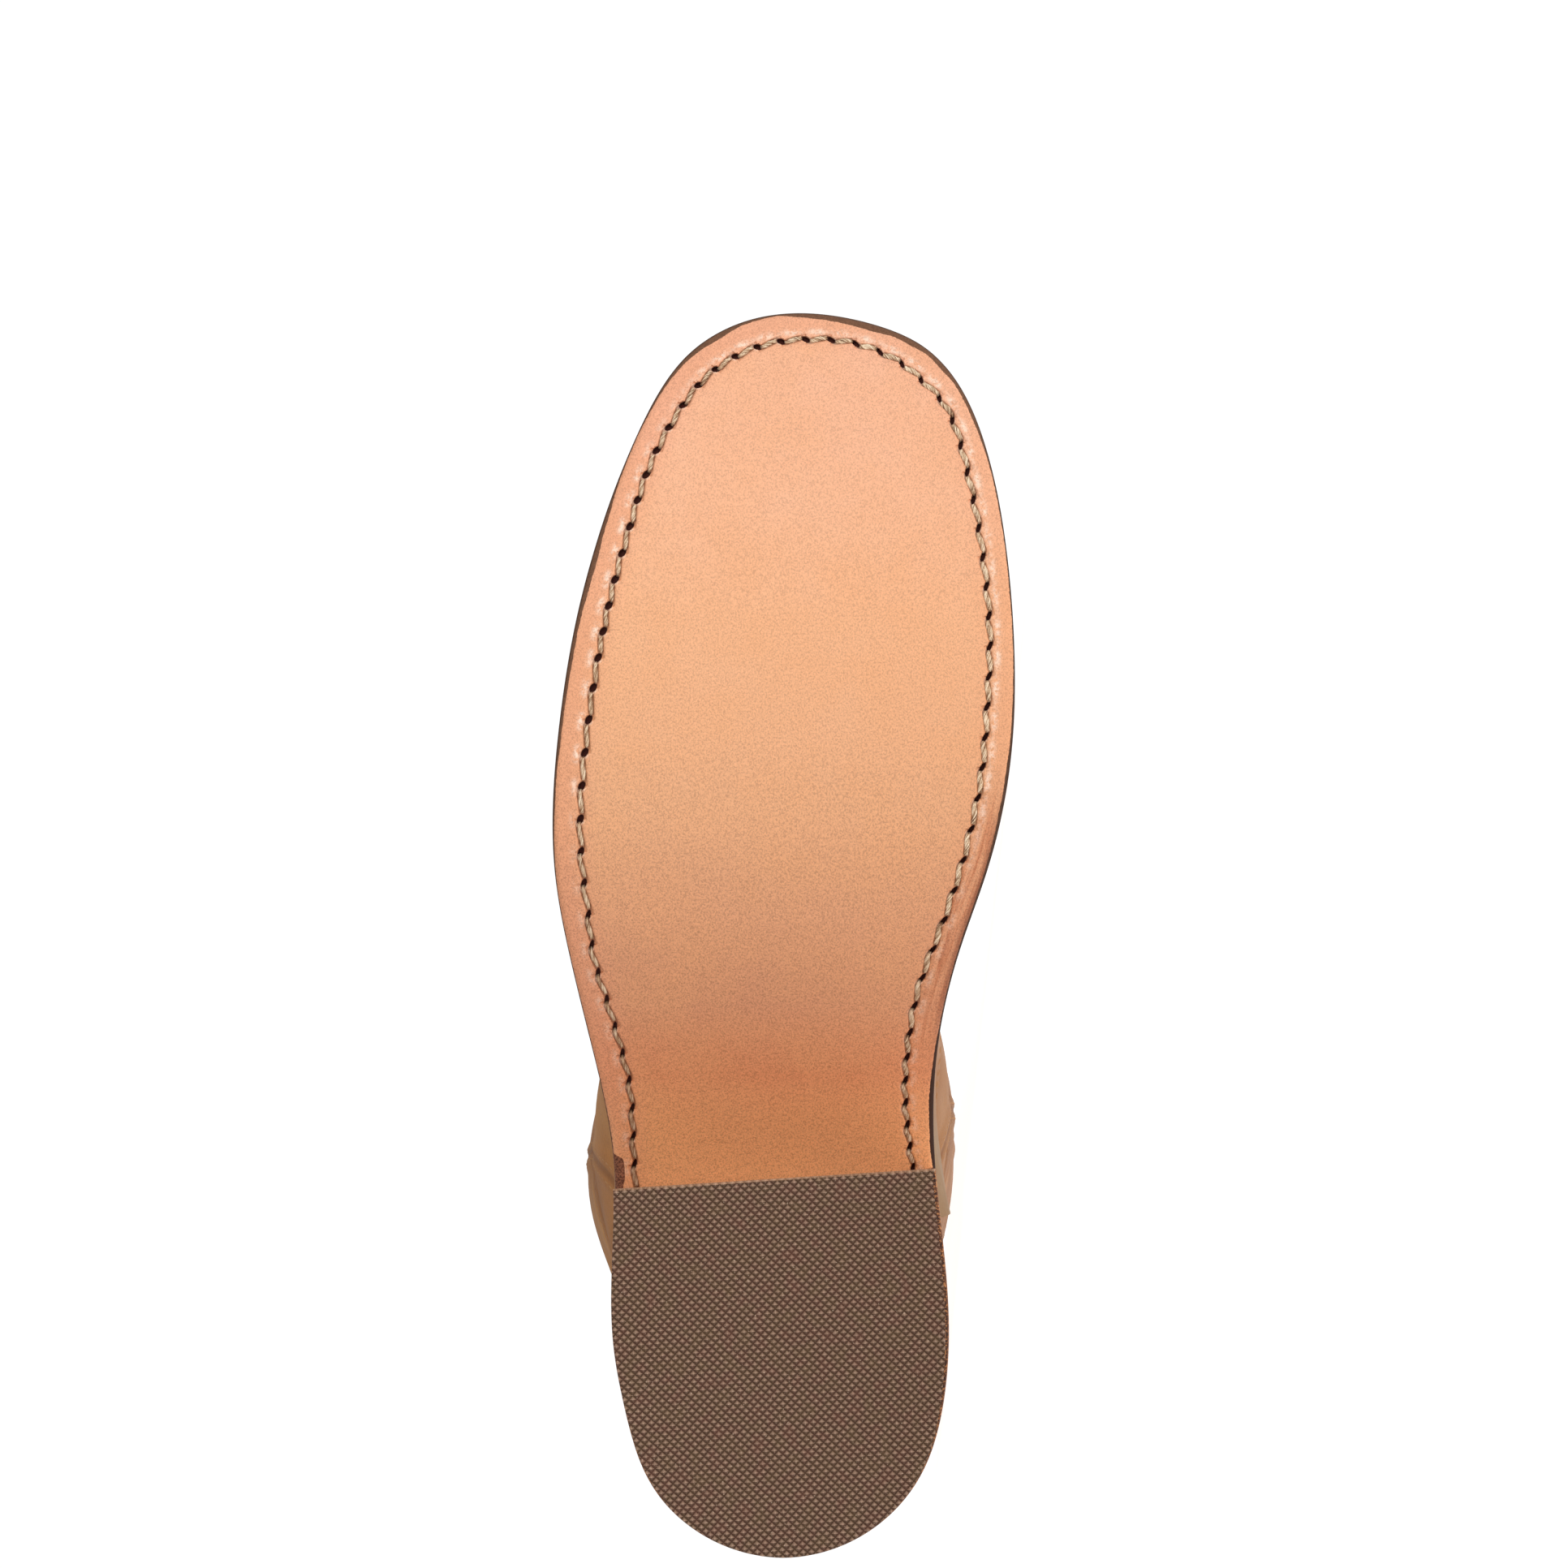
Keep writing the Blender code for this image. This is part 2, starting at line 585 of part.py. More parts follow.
def lying_matrix(pieces):
    """The turn that lays the boot on its medial side, on the edges of forefoot and heel and on the shaft."""
    sole = standing_points(piece for piece in pieces if piece.name == "outsole")
    heel = standing_points(piece for piece in pieces if "lift" in piece.name)
    waist = SOLE_LENGTH / 2 * MM
    forefoot = sole[sole[:, 1] > waist]
    heel = np.concatenate([heel, sole[sole[:, 1] < waist]])
    shaft = standing_points(piece for piece in pieces if piece.name == "upper")
    medial = np.array([-1.0, 0.0, 0.0])
    down = medial
    for _ in range(SETTLING_STEPS):
        feet = [points[np.argmax(points @ down)] for points in (forefoot, heel, shaft)]
        down = np.cross(feet[1] - feet[0], feet[2] - feet[0])
        down *= np.sign(down @ medial) / np.linalg.norm(down)
    away = np.array([0.0, 0.0, 1.0]) - down * down[2]
    away /= np.linalg.norm(away)
    turn = np.array([np.cross(away, -down), away, -down])
    placed = standing_points(pieces) @ turn.T
    low, high = placed.min(axis=0), placed.max(axis=0)
    shift = -np.array([(low[0] + high[0]) / 2, (low[1] + high[1]) / 2, low[2]])
    return Matrix.Translation(Vector(shift)) @ Matrix(turn.tolist()).to_4x4()


def main():
    for old in list(bpy.data.objects):
        bpy.data.objects.remove(old)
    boot = bpy.data.objects.new("boot", None)
    bpy.context.scene.collection.objects.link(boot)
    makers = (make_outsole, make_welt, make_insole, make_top_lift, make_upper, make_vamp, make_counter)
    pieces = [maker(boot) for maker in makers] + make_heel_lifts(boot)
    boot.matrix_world = lying_matrix(pieces)


main()
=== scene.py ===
"""Looks of the campus boot: fine leather, stitches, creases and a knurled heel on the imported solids.

Everything is worked out standing, in millimetres, as the boot is worn: x runs to the lateral side, y from
the back of the heel to the toe, and z up from the floor. Each piece is then laid on the boot's medial side.
"""

import json
import math

import bmesh
import bpy
import numpy as np
from mathutils import Matrix, Vector


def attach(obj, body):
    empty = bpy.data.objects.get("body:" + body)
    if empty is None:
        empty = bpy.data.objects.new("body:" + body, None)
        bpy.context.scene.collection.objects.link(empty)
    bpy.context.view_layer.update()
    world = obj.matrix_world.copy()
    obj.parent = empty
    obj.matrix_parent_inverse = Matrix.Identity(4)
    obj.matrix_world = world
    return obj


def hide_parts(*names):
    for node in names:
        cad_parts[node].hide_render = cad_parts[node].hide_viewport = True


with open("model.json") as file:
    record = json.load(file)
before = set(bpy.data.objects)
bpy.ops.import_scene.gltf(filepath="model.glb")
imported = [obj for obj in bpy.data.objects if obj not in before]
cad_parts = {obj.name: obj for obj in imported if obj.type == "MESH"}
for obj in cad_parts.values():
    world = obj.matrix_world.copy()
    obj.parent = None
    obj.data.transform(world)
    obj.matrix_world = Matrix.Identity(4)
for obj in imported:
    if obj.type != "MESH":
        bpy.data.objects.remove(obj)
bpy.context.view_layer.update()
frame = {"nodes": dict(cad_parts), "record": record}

MM = 0.001

# Driving sizes
SOLE_LENGTH = 278.0
BALL_WIDTH = 100.4
HEEL_HEIGHT = 58.5
TOE_SPRING = 15.5
BOOT_HEIGHT = 397.0
COLLAR_FRONT_Z = 395.0
COLLAR_FRONT = 140.0
COLLAR_BACK = 1.5
COLLAR_HALF = 51.5

# Thicknesses and the gap that touching pieces keep
OUTSOLE_THICKNESS = 5.0
WELT_THICKNESS = 3.2
TOP_LIFT_THICKNESS = 6.0
UPPER_WALL = 1.8
VAMP_THICKNESS = 1.6
COUNTER_THICKNESS = 0.8
GAP = 0.3
FEATHER_GAP = 0.4

# Edges of outsole and welt
EDGE_ROUND = 1.4
EDGE_BEVEL = 0.4
WELT_STEP = 0.5
WELT_TOP_RING = 0.4
WELT_CLEARANCE = 0.72
WELT_LATERAL_END = 122.0
WELT_MEDIAL_END = 130.0

# Heel
HEEL_LIFTS = 8
HEEL_TAPER = 0.012
HEEL_BACK_RAKE = 1.3
HEEL_SEAT_INSET = 0.4
HEEL_SEAT_EASE = 2.0
BREAST_LATERAL = 82.9
BREAST_MEDIAL = 87.4
BREAST_RAKE = 2.0
LIFT_BEVEL = 0.25

# Side seam of the shaft: height of its ridge and depth of its groove, their widths and that of the groove's
# painted shade in quarter turns, and the ring rows over which they fade at the overlays
SEAM_RIDGE = 0.45
SEAM_HALF_TURN = 0.034
SEAM_SLOPE_TURN = 0.012
SEAM_VALLEY = 0.45
SEAM_VALLEY_TURN = 0.010
SEAM_SHADE_TURNS = (0.016, 0.002)
SEAM_FADE_RING = 0.15
# Columns of the shaft beside a seam, and on the rest of its back and front
SEAM_COLUMN_TURNS = (0.12, 0.09, 0.065, 0.05, 0.043, 0.039, 0.035, 0.031, 0.027, 0.02, 0.012, 0.004)
BACK_COLUMNS = 108
FRONT_COLUMNS = 140
PLAIN_TURN = 0.86
# Rows of the upper's foot, which ends just under the overlays' edge, and of its shaft. The lining takes a
# share of the creases, which fade at the overlays' edge and at the collar
FOOT_ROWS = 13
SHAFT_ROWS = 136
FOOT_TUCK = 0.06
LINING_CREASED = 0.9
CREASE_FADE = (0.3, 0.9)
CREASE_TOP = 0.8
# Depth at which a crease's painted shade starts, and how much deeper it is darkest
SUNK_FROM = 0.6
SUNK_DEPTH = 2.2

# Upper edge of the vamp and the counter, in ring rows
JOINT_RING = 5.3
VAMP_PEAK_RING = 9.55
VAMP_EDGE_POWER = 2.5
COUNTER_BACK_RING = 5.7

# Mesh of the overlays, how they fall and lighten at their edges, and the painted shade at their foot and at
# the medial joint
OVERLAY_ROWS = 60
VAMP_COLUMNS = 300
COUNTER_COLUMNS = 160
OVERLAY_EDGE_FALL = 0.35
OVERLAY_EDGE_PART = 0.97
EDGE_PULL = 0.6
EDGE_PULL_PART = 0.90
FOOT_SHADE_PART = 0.05
JOINT_SHADE = 0.7
JOINT_SHADE_FLARED = 0.2

# The vamp's medial end stands off the counter, and a share of its thickness is pared away at the medial waist
VAMP_FLARE = 2.4
VAMP_FLARE_TURN = 0.15
VAMP_FLARE_POWER = 1.5
VAMP_SKIVED = 0.5
VAMP_SKIVED_FROM = (2.5, 2.75)
VAMP_SKIVED_TO = (2.99, 2.9)

# Sole stitches: their number from breast to breast, where the line starts and ends, holes, the painted
# highlight on the heelward side of each hole, groove and rub
STITCHES = 68
STITCH_LATERAL_START = 80.3
STITCH_MEDIAL_END = 86.3
HOLE_LONG = 1.4
HOLE_ACROSS = 0.48
HOLE_ROUNDER = 0.24
HOLE_SLANT = math.radians(21)
HOLE_SINK = 2.2
HOLE_ROUNDER_FROM = (0.12, 0.2)
HOLE_FADE = (1.1, 0.75)
HOLE_HIGHLIGHT_FADE = (1.75, 1.25)
HOLE_HIGHLIGHT_HEELWARD = (0.1, 0.7)
GROOVE_HALF = 0.74
GROOVE_FADE = (1.25, 0.55)
GROOVE_ENDS = (0.02, 0.25)
GROOVE_END_WIDTH = 0.4
GROOVE_SINK_LATERAL = 0.75
GROOVE_SINK_MEDIAL = 0.5
RUB_OUTSIDE = 1.7
RUB_HALF = 0.7
RUB_AT_HOLE = (2.8, 0.8)
RUB_BEFORE = 0.5
RUB_LEAST = 0.35
# Shares of the edge where the rub is strong at the holes, where it runs on between them, and where the
# lateral half ends. The heel seat has a stitch number of its own, as nothing is sewn there
SCUFFED = ((0.17, 0.23), (0.42, 0.36))
WORN = ((0.40, 0.46), (0.86, 0.80))
LATERAL_END = (0.56, 0.44)
UNSEWN = -9.0
# Thread of the sole: its lean, what the holes hide of it, its mesh and twist, its plies as shares of its
# radius, how deep it lies and dives, and how far apart the strands of its stitches and plies are
THREAD_LEAN = 0.6
THREAD_HIDDEN = 0.95
THREAD_RADIUS_LATERAL = 0.56
THREAD_RADIUS_MEDIAL = 0.69
THREAD_RINGS = 13
THREAD_SIDES = 7
PLIES = 2
TWISTS = 1.1
PLY_OFFSET = 0.4
PLY_RADIUS = 0.68
THREAD_MIDDLE = 0.55
THREAD_SINK = 0.10
THREAD_SINK_LATERAL = 0.22
THREAD_DIVE = 1.3
THREAD_DIVE_PART = 0.08
STRAND_RUN = 6
STRAND_STITCH = 40
STRAND_PLY = 20

# Seams of the upper: pitch, share of it that shows, thread and its mesh, where rows lie and where they end
SEAM_PITCH = 2.7
SEAM_SHOWN = 0.8
SEAM_RADIUS = 0.23
SEAM_ROW_TURN = 0.019
SEAM_ROW_LOW = 0.12
SEAM_ROW_TOP = 0.03
EDGE_ROW_END = 0.03
SEAM_THREAD_RINGS = 6
SEAM_THREAD_SIDES = 6
SEAM_THREAD_FLAT = 0.8
SEAM_THREAD_SUNK = 0.25
SEAM_SAMPLES = 1200
EDGE_ROWS = (2.0, 4.3)
COLLAR_ROWS = (3.2, 5.6)
# Stitches of the welt, with the sections at its ends that have none, its mesh, and its thin ends
WELT_PITCH = 6.3
WELT_ROW = 0.6
WELT_THREAD_RADIUS = 0.5
WELT_END_SECTIONS = 12
WELT_ROW_POINT = 7
WELT_SECTIONS = 700
WELT_SAMPLES = 7200
WELT_END_PART = 0.025
WELT_END_THIN = 0.3

# Fine mesh of the sole
RIM_SAMPLES = 6000
COLUMNS_PER_STITCH = 26
SEAT_COLUMNS = 30
RIM_EDGE = 2.8
RIM_EDGE_ROWS = 4
RIM_WIDTH = 9.2
RIM_ROWS = 28
INNER_RIM = 20.0
CORNER_ROWS = 5
SIDE_ROWS = 5
RUNG_CELLS = 12
TOP_RUNG_CELLS = 6

# Knurl of the top lift: side of a diamond, turn of its lattice, depth, share of the side that is flat on top,
# half the lattice's cells in a row, and its middle
KNURL_SIDE = 1.285
KNURL_TURN = math.radians(45 - 4.65)
KNURL_DEPTH = 0.6
KNURL_TOP = 0.14
KNURL_CELLS = 62
KNURL_MIDDLE = (0.0, 44.0)
# How far the pieces that are cut into one another reach past the cut
CUT_MARGIN = 1.0

# How far the leather over the top lift shows round its rubber, the stations between its back and its sides,
# the distances behind the breast where it starts, and the points of its outline
RUBBER_INSET_LATERAL = 0.1
RUBBER_INSET_MEDIAL = 0.95
RUBBER_INSET_BACK = 0.55
RUBBER_BACK = (15.0, 50.0)
RUBBER_FLUSH = (0.3, 1.5)
HEEL_POINTS = 240
# Outline points of the leather lifts, share of the gap under each, how unevenly they are sanded, and how full
# their sides are
LIFT_POINTS = 200
LIFT_GAP = 0.4
LIFT_SEED = 7
LIFT_UNEVEN = 0.08
LIFT_FULL = 0.06

# Camera of the photo, in the standing frame, and its focal length in pixels of a square picture
PHOTO_SIZE = 1932
FOCAL_PIXELS = 6720
CAMERA_PLACE = (0.0, 130.0, -1200.0)
CAMERA_PITCH = math.radians(2)
SENSOR_WIDTH = 36.0
CLIP_START = 0.02

# Light: brightness of the surroundings, the backdrop and the floor, and the soft key in metres and watts
AMBIENT = 0.45
BACKDROP = 1.05
FLOOR_GLOW = 0.93
FLOOR_TONES = (0.44, 0.46)
FLOOR_HALF = 6.0
KEY_PLACE = (0.62, -1.6, 0.5)
KEY_TARGET = (0.02, -0.2, 0.06)
KEY_SIZE = 0.9
KEY_POWER = 10.8


def table(names, *rows):
    """The columns of a table by name."""
    return dict(zip(names.split(), np.array(rows).T))


# Plan of the outsole: station as a share of its length, centre and width as shares of the ball width
SOLE_PLAN = table(
    "station centre width",
    (0.043, 0.002, 0.528),
    (0.101, 0.000, 0.689),
    (0.180, 0.007, 0.755),
    (0.306, 0.020, 0.727),
    (0.416, 0.044, 0.781),
    (0.494, 0.043, 0.878),
    (0.546, 0.030, 0.949),
    (0.648, -0.001, 1.000),
    (0.752, -0.024, 0.958),
    (0.856, -0.048, 0.839),
    (0.963, -0.060, 0.556),
    (0.984, -0.053, 0.392),
)
HEEL_END_RADIUS = 35.0
TOE_END_RADIUS = 45.0
TOE_END_CENTRE = -0.035
BALL_STATION = 0.648

# Underside of the outsole: its height at a station, as shares of the heel height and of the toe spring
SOLE_PROFILE = table(
    "station heel spring",
    (0.000, 1.000, 0.00),
    (0.155, 0.872, 0.00),
    (0.240, 0.785, 0.00),
    (0.306, 0.694, 0.00),
    (0.370, 0.538, 0.00),
    (0.442, 0.342, 0.00),
    (0.514, 0.162, 0.00),
    (0.586, 0.043, 0.00),
    (0.651, 0.000, 0.00),
    (0.748, 0.000, 0.00),
    (0.820, 0.000, 0.10),
    (0.892, 0.000, 0.32),
    (0.946, 0.000, 0.61),
    (1.000, 0.000, 1.00),
)

# Rings of the upper's outer face, from the feather edge at the sole up to the collar
RINGS = table(
    "front_y front_z back_y back_z side_y centre half widest front_pinch back_pinch follow skew",
    (269.6, 17.4, 3.6, 63.8, 74.0, 0.0, 42.6, 0.660, -0.13, -0.13, 1.00, 0.00),
    (272.0, 26.5, 2.2, 72.0, 74.0, 0.0, 44.2, 0.660, -0.13, -0.13, 1.00, 0.00),
    (271.2, 37.0, 1.8, 82.0, 74.0, 0.0, 44.4, 0.650, -0.13, -0.13, 0.97, 0.00),
    (265.4, 46.8, 2.4, 92.0, 74.0, 0.0, 43.2, 0.620, -0.12, -0.20, 0.88, 0.00),
    (252.0, 53.6, 3.8, 101.5, 74.0, 0.3, 41.4, 0.570, -0.08, -0.19, 0.68, 0.00),
    (232.0, 57.6, 5.8, 110.5, 74.5, 1.0, 39.4, 0.500, -0.04, -0.12, 0.46, 0.00),
    (208.0, 63.6, 8.0, 119.5, 77.0, 1.6, 38.4, 0.450, 0.00, -0.07, 0.26, 0.01),
    (185.0, 73.6, 10.2, 129.5, 82.0, 2.2, 39.2, 0.460, 0.00, -0.03, 0.10, 0.03),
    (166.0, 88.6, 12.0, 141.5, 87.0, 2.7, 41.4, 0.500, 0.00, 0.02, 0.00, 0.07),
    (153.0, 110.0, 13.2, 157.0, 91.0, 3.1, 43.8, 0.550, 0.00, 0.07, 0.00, 0.10),
    (145.0, 140.0, 13.6, 178.0, 91.5, 3.3, 45.4, 0.565, 0.00, 0.09, 0.00, 0.11),
    (140.6, 182.0, 11.8, 208.0, 90.0, 3.3, 46.5, 0.565, 0.00, 0.09, 0.00, 0.11),
    (138.6, 242.0, 7.6, 256.0, 86.0, 3.3, 48.2, 0.550, 0.00, 0.07, 0.00, 0.09),
    (139.0, 320.0, 3.0, 328.0, 81.0, 2.9, 50.2, 0.530, 0.00, 0.03, 0.00, 0.05),
    (COLLAR_FRONT, COLLAR_FRONT_Z, COLLAR_BACK, BOOT_HEIGHT,
     78.0, 2.5, COLLAR_HALF, 0.520, 0.00, 0.00, 0.00, 0.03),
)
FEATHER_HEEL_SHRINK = 1.02
FEATHER_TOE_SHRINK = 0.80
NORMAL_STEP = 1e-3

# Rim of the sole, from the lateral breast round the toe to the medial breast, by share of the edge's length:
# pitch of the stitches along the edge, depth of their line inside it, and how far the edge's dark dressing
# laps onto the underside. The edge's length is in metres, as is that to which it shrinks for long streaks
EDGE_LENGTH = 0.443
STREAK_LENGTH = 0.02
SOLE_RIM = table(
    "share pitch depth dressing",
    (0.000, 6.2, 4.5, 1.6),
    (0.010, 6.2, 4.6, 2.5),
    (0.017, 6.1, 4.6, 2.2),
    (0.021, 6.1, 4.7, 0.2),
    (0.060, 6.2, 6.4, 0.2),
    (0.090, 6.3, 6.0, 0.2),
    (0.120, 6.4, 5.2, 0.2),
    (0.150, 7.4, 6.1, 0.2),
    (0.210, 7.6, 6.2, 0.6),
    (0.260, 7.2, 6.4, 0.9),
    (0.290, 6.0, 6.4, 1.0),
    (0.318, 6.2, 6.25, 1.4),
    (0.340, 6.4, 6.1, 1.1),
    (0.380, 6.1, 5.4, 0.3),
    (0.420, 6.5, 6.3, 0.7),
    (0.455, 6.8, 6.9, 1.4),
    (0.490, 6.6, 6.6, 0.6),
    (0.503, 6.5, 6.4, 1.2),
    (0.535, 6.1, 5.6, 1.7),
    (0.575, 7.4, 6.3, 1.3),
    (0.610, 6.4, 5.0, 0.9),
    (0.650, 6.7, 5.5, 0.4),
    (0.720, 6.8, 5.3, 0.36),
    (0.770, 7.0, 6.1, 0.55),
    (0.800, 7.2, 6.05, 0.8),
    (0.830, 7.4, 6.0, 0.7),
    (0.875, 6.8, 5.6, 0.45),
    (0.920, 6.0, 6.8, 0.35),
    (0.955, 4.9, 6.7, 0.95),
    (0.985, 4.83, 5.75, 1.05),
    (1.000, 4.8, 5.2, 0.65),
)

# Creases of the shaft: where each lies by turn and ring, its half length and half width, its rise and tilt
CREASES = table(
    "turn ring reach width rise tilt",
    (2.00, 9.75, 0.75, 0.34, -3.2, 0.0),
    (1.80, 10.30, 0.55, 0.26, 2.2, 0.6),
    (2.25, 10.35, 0.60, 0.28, -2.8, -0.7),
    (1.70, 10.85, 0.50, 0.26, -2.6, 0.9),
    (2.10, 11.30, 0.60, 0.30, 1.8, -0.4),
    (1.85, 11.55, 0.45, 0.22, -1.8, 0.5),
    (1.95, 10.02, 0.50, 0.11, -1.3, 0.2),
    (2.20, 10.72, 0.45, 0.11, -1.3, -0.4),
    (1.78, 10.62, 0.35, 0.10, -1.2, 0.6),
    (2.05, 11.05, 0.40, 0.10, 0.9, 0.2),
    (0.00, 8.60, 0.70, 0.40, -2.9, 0.0),
    (0.25, 9.35, 0.55, 0.32, 2.1, 0.5),
    (3.80, 9.55, 0.50, 0.30, -2.6, 0.5),
    (0.30, 10.20, 0.60, 0.34, -2.7, -0.6),
    (3.70, 10.50, 0.50, 0.30, 1.7, -0.5),
    (0.05, 9.02, 0.45, 0.13, -1.3, 0.2),
    (0.15, 9.80, 0.45, 0.13, -1.2, -0.3),
    (3.85, 10.10, 0.40, 0.12, 1.0, 0.4),
    (0.60, 9.30, 0.35, 0.14, -1.6, 0.5),
    (0.75, 9.90, 0.40, 0.16, -1.8, 0.7),
    (0.65, 10.50, 0.35, 0.14, 1.2, 0.6),
    (1.40, 9.95, 0.40, 0.15, -1.8, -0.8),
    (1.30, 10.55, 0.35, 0.14, -1.5, -0.9),
    (2.60, 10.00, 0.40, 0.15, -1.7, 0.8),
    (3.35, 9.60, 0.40, 0.15, -1.7, -0.6),
    (3.30, 10.30, 0.35, 0.14, -1.4, -0.5),
    (1.00, 9.40, 0.40, 0.50, -1.4, 1.4),
    (1.15, 10.40, 0.45, 0.45, -1.9, -1.6),
    (3.00, 9.50, 0.40, 0.50, -1.4, -1.4),
    (1.30, 12.40, 0.60, 0.55, 1.0, 0.8),
    (2.70, 12.20, 0.60, 0.55, -1.2, -0.6),
    (0.60, 12.60, 0.55, 0.60, -1.2, 0.5),
)


def monotone(xs, ys, x):
    """A curve through the points (xs, ys) that never overshoots them, read at x."""
    xs, ys, x = (np.asarray(values, float) for values in (xs, ys, x))
    step = np.diff(xs)
    rise = np.diff(ys) / step
    both = rise[:-1] * rise[1:]
    total = np.where(both > 0, rise[:-1] + rise[1:], 1.0)
    slope = np.concatenate([rise[:1], np.where(both > 0, 2 * both / total, 0.0), rise[-1:]])
    k = np.clip(np.searchsorted(xs, x, "right") - 1, 0, len(step) - 1)
    t = (x - xs[k]) / step[k]
    start = (1 + 2 * t) * (1 - t) ** 2 * ys[k] + t * (1 - t) ** 2 * step[k] * slope[k]
    return start + t * t * (3 - 2 * t) * ys[k + 1] - t * t * (1 - t) * step[k] * slope[k + 1]


def spline_bends(xs, ys):
    """Second derivatives of the natural cubic spline through the rows of ys at xs."""
    count = len(xs)
    step = np.diff(xs)
    matrix = np.eye(count)
    right = np.zeros(ys.shape)
    for i in range(1, count - 1):
        matrix[i, i - 1 : i + 2] = step[i - 1], 2 * (step[i - 1] + step[i]), step[i]
        right[i] = 6 * ((ys[i + 1] - ys[i]) / step[i] - (ys[i] - ys[i - 1]) / step[i - 1])
    return np.linalg.solve(matrix, right)


def spline(xs, ys, bends, x):
    """The natural cubic spline, with its bends, read at x. Each column of ys is a curve of its own."""
    x = np.asarray(x, float)
    k = np.clip(np.searchsorted(xs, x, "right") - 1, 0, len(xs) - 2)
    step = xs[k + 1] - xs[k]
    after = ((x - xs[k]) / step)[..., None]
    before = 1 - after
    bent = (before**3 - before) * bends[k] + (after**3 - after) * bends[k + 1]
    return before * ys[k] + after * ys[k + 1] + bent * (step**2 / 6)[..., None]


def plan_values():
    """Stations, with the centre and the half width over sin(angle), which stays finite at the round ends."""
    station, centre, width = SOLE_PLAN.values()
    swell = width * BALL_WIDTH / 2 / (2 * np.sqrt(station * (1 - station)))
    heel_end, toe_end = (math.sqrt(radius * SOLE_LENGTH / 2) for radius in (HEEL_END_RADIUS, TOE_END_RADIUS))
    centre = np.concatenate([centre[:1], centre, [TOE_END_CENTRE]]) * BALL_WIDTH
    swell = np.concatenate([[heel_end], swell, [toe_end]])
    return np.concatenate([[0.0], station, [1.0]]), np.stack([centre, swell], axis=1)


PLAN_STATIONS, PLAN_VALUES = plan_values()
PLAN_BENDS = spline_bends(PLAN_STATIONS, PLAN_VALUES)
RING_VALUES = np.stack(list(RINGS.values()), axis=1)
RING_ROWS = np.arange(len(RING_VALUES), dtype=float)
RING_BENDS = spline_bends(RING_ROWS, RING_VALUES)


def ring_at(ring):
    """The values of every column of the rings' table at a ring row, by name."""
    values = spline(RING_ROWS, RING_VALUES, RING_BENDS, ring)
    return dict(zip(RINGS, np.moveaxis(values, -1, 0)))


def part_way(start, end, share):
    """What lies a share of the way from start to end."""
    return start + (end - start) * share


def unit(vectors):
    """Directions of length one."""
    return vectors / np.linalg.norm(vectors, axis=-1)[..., None]


def leftward(along):
    """Plan directions a quarter turn to the left."""
    return np.stack([-along[:, 1], along[:, 0]], axis=1)


def running(steps):
    """Sums of the steps so far, from 0."""
    return np.concatenate([[0.0], np.cumsum(steps)])


def share_of(angle):
    """Share of a ring's length at an angle: 0 at the back, 1 at the front for half a turn."""
    return (1 - np.cos(angle)) / 2


def angle_of(y):
    """Angle on the lateral side of the outsole's outline at a station in millimetres."""
    return math.acos(1 - 2 * y / SOLE_LENGTH)


def edge_angles(lateral, medial, count):
    """Angles along the outsole's edge, from a lateral station round the toe to a medial one."""
    return np.linspace(angle_of(lateral), 2 * math.pi - angle_of(medial), count)


def foot_plan(angle):
    """Centre and half width of the outsole's plan at an angle."""
    centre, swell = np.moveaxis(spline(PLAN_STATIONS, PLAN_VALUES, PLAN_BENDS, share_of(angle)), -1, 0)
    return centre, swell * np.sin(angle)


def sole_height(y):
    """Height of the outsole's underside over the floor at a station in millimetres."""
    share = np.clip(np.asarray(y, float) / SOLE_LENGTH, 0, 1)
    station, heel, spring = SOLE_PROFILE.values()
    return HEEL_HEIGHT * monotone(station, heel, share) + TOE_SPRING * monotone(station, spring, share)


def sole_slope(y):
    """Rise of the outsole's underside over a millimetre towards the toe."""
    return sole_height(y + 0.5) - sole_height(y - 0.5)


def around(count):
    """Angles round a closed outline, none of them on the centre line, so that each has its twin across."""
    return 2 * math.pi * (np.arange(count) + 0.5) / count


def sole_outline(angle):
    """Plan points of the outsole's edge."""
    centre, half = foot_plan(angle)
    return np.stack([centre + half, SOLE_LENGTH * share_of(angle)], axis=-1)


def inset(outline, depth):
    """A closed outline, which runs anticlockwise seen from above, moved inwards by a depth."""
    before = unit(outline - np.roll(outline, 1, axis=0))
    after = unit(np.roll(outline, -1, axis=0) - outline)
    along = unit(before + after)
    return outline + leftward(along) * depth / np.sum(along * after, axis=1)[:, None]


def lifted(outline, rise):
    """Plan points raised to lie rise above the outsole's underside."""
    return np.concatenate([outline, (sole_height(outline[..., 1]) + rise)[..., None]], axis=-1)


def oval(share, row):
    """Half width of an egg-shaped ring as a share of its largest."""
    widest = row["widest"]
    reach = np.where(share > widest, (share - widest) / (1 - widest), (widest - share) / widest)
    pinch = np.where(share > widest, row["front_pinch"], row["back_pinch"])
    return np.sqrt(np.maximum(1 - reach**2, 0)) * (1 - pinch * np.sin(math.pi * reach) ** 2)


def feather_shrink(share):
    """How much narrower than the outsole the upper's foot is, at a share of its length."""
    return part_way(FEATHER_HEEL_SHRINK, FEATHER_TOE_SHRINK, share)


def feather_height(y):
    """Height at which the upper stands on the outsole at a station."""
    return sole_height(y) + OUTSOLE_THICKNESS + FEATHER_GAP


